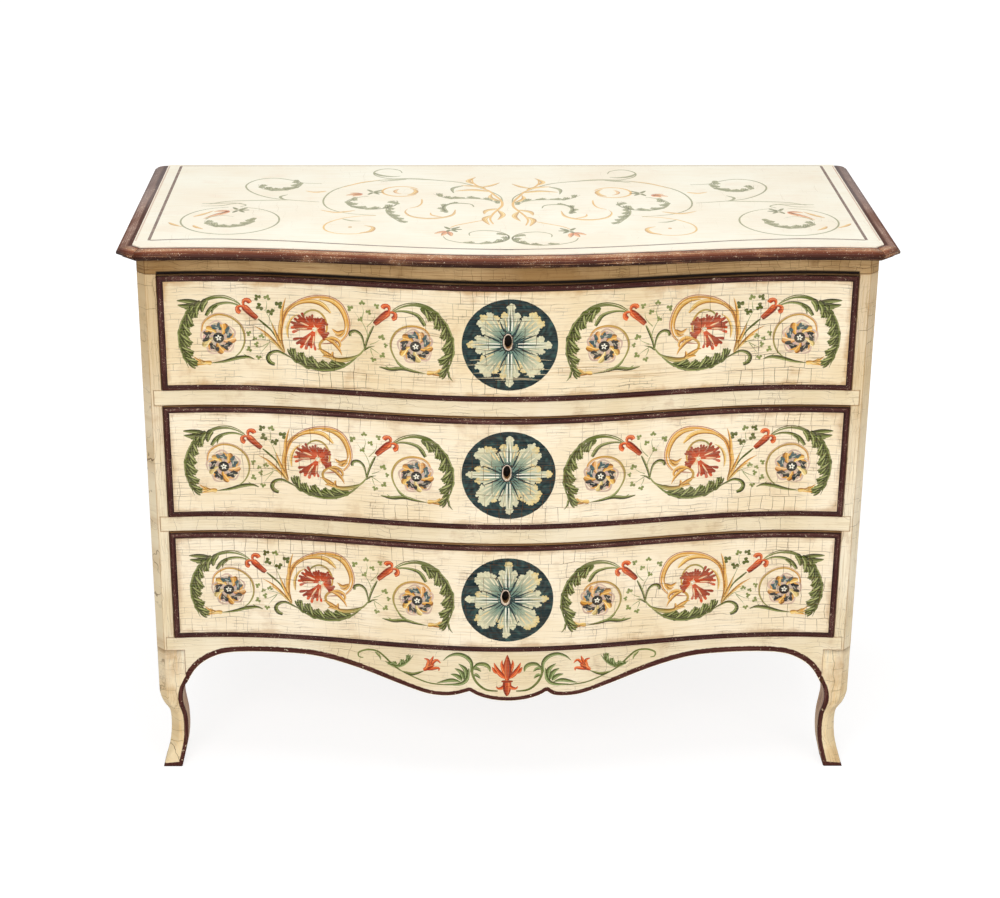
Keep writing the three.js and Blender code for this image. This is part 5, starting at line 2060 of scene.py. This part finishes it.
@dataclass
class ApronFace:
    """The paint over the bottom rail and the front apron: cream, with a plum stripe along the scalloped edge.

    Attributes:
        frame: the loaded frame.
        bow: the line of the case's front.
        stripe: the width of the stripe.
        skin: how far the paint stands in front of the wood.
        column: the width of a column of the mesh.
        rows: how many rows it has.
    """

    frame: dict
    bow: Bow
    stripe: float = 6.5
    skin: float = 0.15
    column: float = 2.6
    rows: int = 18
    widening: Point = (100.0, 250.0)  # the stripe widens from here to there, out from the middle
    widths: Point = (1.1, 1.5)  # and is so many times as wide before and after

    def edge(self) -> list[Point]:
        """Reads the apron's lower edge from its solid.

        Returns:
            Its points from left to right, across and up.
        """
        lowest: dict[float, float] = {}
        for vertex in self.frame["nodes"]["apron"].data.vertices:
            x, y, z = (value / MM for value in vertex.co)
            if abs(y - self.bow.at(x)) < 0.2:
                key = round(x, 1)
                lowest[key] = min(z, lowest.get(key, z))
        return sorted(lowest.items())

    def away(self, x: float, z: float, edge: Line) -> float:
        """Finds how far a place is from the edge.

        Args:
            x, z: the place.
            edge: the points of the edge.

        Returns:
            The distance, or infinity where the edge is far off.
        """
        best = math.inf
        for (ax, az), (bx, bz) in zip(edge, edge[1:]):
            if ax - 12 > x or bx + 12 < x:
                continue
            dx, dz = bx - ax, bz - az
            t = min(max(((x - ax) * dx + (z - az) * dz) / (dx * dx + dz * dz), 0), 1)
            best = min(best, math.dist((x, z), (ax + dx * t, az + dz * t)))
        return best

    def build(self, material: Material) -> None:
        """Makes the sheet and turns it under the edge.

        Args:
            material: its finish.
        """
        edge = self.edge()
        rail_low, rail_high = (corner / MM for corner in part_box("bottom_rail"))
        half = edge[-1][0]
        count = round(2 * half / self.column)
        spots = [(-rail_high.x, rail_low.z), (-half - 0.02, rail_low.z)]
        k = 0
        for i in range(count + 1):
            x = -half + 2 * half * i / count
            while k < len(edge) - 2 and edge[k + 1][0] < x:
                k += 1
            (ax, az), (bx, bz) = edge[k], edge[k + 1]
            spots.append((x, az + (bz - az) * (x - ax) / max(bx - ax, 1e-6)))
        spots += [(half + 0.02, rail_low.z), (rail_high.x, rail_low.z)]
        mesh = bmesh.new()
        plum = mesh.verts.layers.float.new("plum")
        columns = []
        for x, low in spots:
            front = self.bow.at(x) - self.skin
            on_apron = abs(x) <= half
            column = [(front + 20, low - 0.1), (front + 1.2, low - 0.1), (front + 0.35, low + 0.25)]
            for row in range(self.rows + 1):
                share = (row / self.rows) ** 1.7
                column.append((front, low + 1.1 + (rail_high.z - low - 1.1) * share))
            vertices = []
            for y, z in column:
                vertex = mesh.verts.new((x, y, z))
                away = self.away(x, z, edge) if on_apron else 99.0
                (start, end), (narrow, wide) = self.widening, self.widths
                share = min(max((abs(x) - start) / (end - start), 0), 1)
                vertex[plum] = 1 - away / (2 * self.stripe * (narrow + (wide - narrow) * share))
                vertices.append(vertex)
            columns.append(vertices)
        join_rows(mesh, list(zip(*columns)))
        make_piece("apron_painted_face", CARCASS, mesh, material)


@dataclass
class ApronScrolls(Brushwork):
    """The fleur-de-lis in the middle of the apron and the leaf scrolls on either side of it."""

    def lily(self) -> None:
        """Paints the fleur-de-lis."""
        for way in (-1, 1):
            for path, width in (
                ("0,-27 9,-20 17,-9 22,4", 11), ("14,-17 20,-13 25,-4", 7.5), ("0,-26 5,-12 9,0 8,9", 10),
                ("0,-36 8,-43 15,-44 18,-39", 8),
            ):
                self.bold([(way * x, y) for x, y in dots(path)], width, VERMILION, LEAF, 1, flip=way > 0)
        self.bold("0,-32 0,-8 0,18", 19, VERMILION, LEAF, 3, fade=BRICK)
        self.bold("0,-28 0,-44 0,-59", 18, VERMILION, DROP, 2, fade=BRICK)
        self.bold("-10,-31 10,-31", 5, BRICK, LINE, 5)
        for aside in (-3.5, 0, 3.5):
            self.stroke(((aside * 0.4, -26), (aside, -8), (aside * 0.5, 9)), 1.8, BRICK, LEAF, 6, 0.9)

    def scroll(self) -> None:
        """Paints the scrolls on the left."""
        curl = dots("-24,-14 -26,-5 -34,0 -45,-1 -53,-12 -50,-26 -42,-38 -29,-47 -10,-49")
        self.greens(
            ("-56,-16 -54,0 -62,12 -76,17 -90,13 -101,3", 9, 1), ("-58,-7 -62,-29 -75,-38 -99,-39", 8, 2),
            ("-63,-27 -64,-11 -76,0", 10, 3), ("-66,-30 -71,-16 -82,-9", 10, 3),
            ("-69,-32 -77,-23 -89,-20", 9, 3), ("-71,-34 -87,-31 -112,-38", 8, 3),
        )
        stem = "-84,-40 -104,-40 -124,-38 -142,-32 -168,-20 -192,-6"
        self.stroke(stem, 3.2, LEAF_GREEN, LINE, 1, fade=MOSS)
        self.stroke(curl, 5, MOSS, LINE, 3, fade=LEAF_GREEN)
        self.bold(curl[:5], 9, MOSS, LEAF, 3, fade=FRESH_GREEN)
        self.greens(("-52,-10 -45,-8 -38,-14", 7, 4), ("-52,-22 -46,-20 -39,-27", 7, 4))
        self.bold("-168,-20 -150,-24 -130,-16", 7, LEAF_GREEN, LEAF, 1)
        for path in ("-128,-14 -112,4 -104,-2", "-128,-14 -108,-10 -108,-16", "-128,-14 -119,4 -116,12",
                     "-128,-14 -124,2 -132,6"):
            self.bold(path, 7.5, VERMILION, DROP, 3)
        self.bold("-133,-16 -124,-10 -114,-4", 9, VERMILION, DROP, 4)
        self.acanthus("-196,-4 -182,-12 -168,-10 -156,0 -148,12", 6, 3, 13, 1, FRESH_GREEN, 0.25, 0.8)
        outer = "-168,-20 -182,-10 -196,4 -208,13 -224,14 -238,8 -238,0 -230,-1"
        self.stroke(outer, 4, LEAF_GREEN, LINE, 2, fade=MOSS)
        self.bold("-212,12 -204,4 -202,-4", 5, MOSS, LEAF, 3)

    def greens(self, *leaves: tuple[Line, float, int]) -> None:
        """Paints green leaves, each a path, a width and a layer."""
        for path, width, layer in leaves:
            self.bold(path, width, FRESH_GREEN, LEAF, layer)


@dataclass
class Case:
    """Rails, posts, sides, feet and aprons."""

    frame: dict
    bow: Bow

    def build(self) -> None:
        """Softens and paints every outer piece of the case."""
        across, deep = CASE_CREAM.build(Grain.FRONT), CASE_CREAM.build(Grain.DEEP)
        upright, footed = POST_CREAM.build(Grain.UPRIGHT), FOOT_CREAM.build(Grain.UPRIGHT)
        soften(self.frame, "top_rail", FRIEZE_CREAM.build(Grain.FRONT))
        for node in ("upper_divider_rail", "lower_divider_rail", "bottom_rail", "apron"):
            soften(self.frame, node, across)
        ApronFace(self.frame, self.bow).build(across)
        for side in SIDES:
            for end in ("front", "back"):
                soften(self.frame, f"{side}_{end}_post", upright)
                Foot(self.frame, f"{side}_{end}_foot").build(footed)
            for piece in ("side", "side_apron"):
                soften(self.frame, f"{side}_{piece}", deep)
        self.ornament(CASE_CREAM.build(Grain.FRONT, "pigment"))
        log.info("case painted")

    def ornament(self, paint: Material) -> None:
        """Paints the scrolls of the apron and the fleur-de-lis between them.

        Args:
            paint: the finish.
        """
        surface = replace(self.bow, plane=self.bow.plane - ApronFace.skin).surface(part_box("apron")[1].z / MM)
        for name, seed, mirrored, shift in (
            ("left_scrolls", 50, False, 0.0), ("right_scrolls", 51, True, 8.0), ("lily", 52, False, 4.0),
        ):
            scrolls = ApronScrolls(surface, seed, mirrored=mirrored, shift=(shift, 0.0))
            if name == "lily":
                scrolls.lily()
            else:
                scrolls.scroll()
            scrolls.finish(f"apron_{name}", CARCASS, paint, "painted_case")


@dataclass
class Insides:
    """The unpainted boards of the case and the drawers, and the locks."""

    frame: dict

    def build(self) -> None:
        """Dresses every node that keeps its own mesh."""
        deep, across = PINE.build(Grain.DEEP), PINE.build(Grain.FRONT)
        dress(self.frame, [f"back_board_{n}" for n in (1, 2, 3)], across)
        dress(self.frame, ["bottom_board", *(f"drawer_{d}_bottom" for d in DRAWERS)], deep)
        dress(self.frame, [f"drawer_{d}_back" for d in DRAWERS], across)
        for side in SIDES:
            dress(self.frame, [f"{side}_kicker", *(f"{side}_runner_{d}" for d in DRAWERS)], deep)
            dress(self.frame, [f"drawer_{d}_{side}_side" for d in DRAWERS], deep)
        dress(self.frame, [f"drawer_{d}_front" for d in DRAWERS], across)
        iron = LOCK_IRON.build()
        dress(self.frame, [f"drawer_{d}_{part}" for d in DRAWERS for part in ("lock", "lock_bolt")], iron)
        log.info("insides dressed")


def main() -> None:
    """Builds the scene in order."""
    logging.basicConfig(level=logging.INFO)
    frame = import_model()
    Studio().build()
    opening_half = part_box("right_front_post")[0].x / MM
    corner_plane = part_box("right_front_post")[0].y / MM
    swell = corner_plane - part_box("upper_divider_rail")[0].y / MM
    case_bow = Bow(corner_plane, opening_half, swell)
    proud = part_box("upper_divider_rail")[0].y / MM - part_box("drawer_1_front")[0].y / MM
    field_bow = Bow(corner_plane - proud, opening_half, swell)
    Case(frame, case_bow).build()
    Top(frame).build()
    Insides(frame).build()
    DrawerFronts(frame, field_bow).build()
    bpy.context.view_layer.update()


if __name__ == "__main__":
    main()
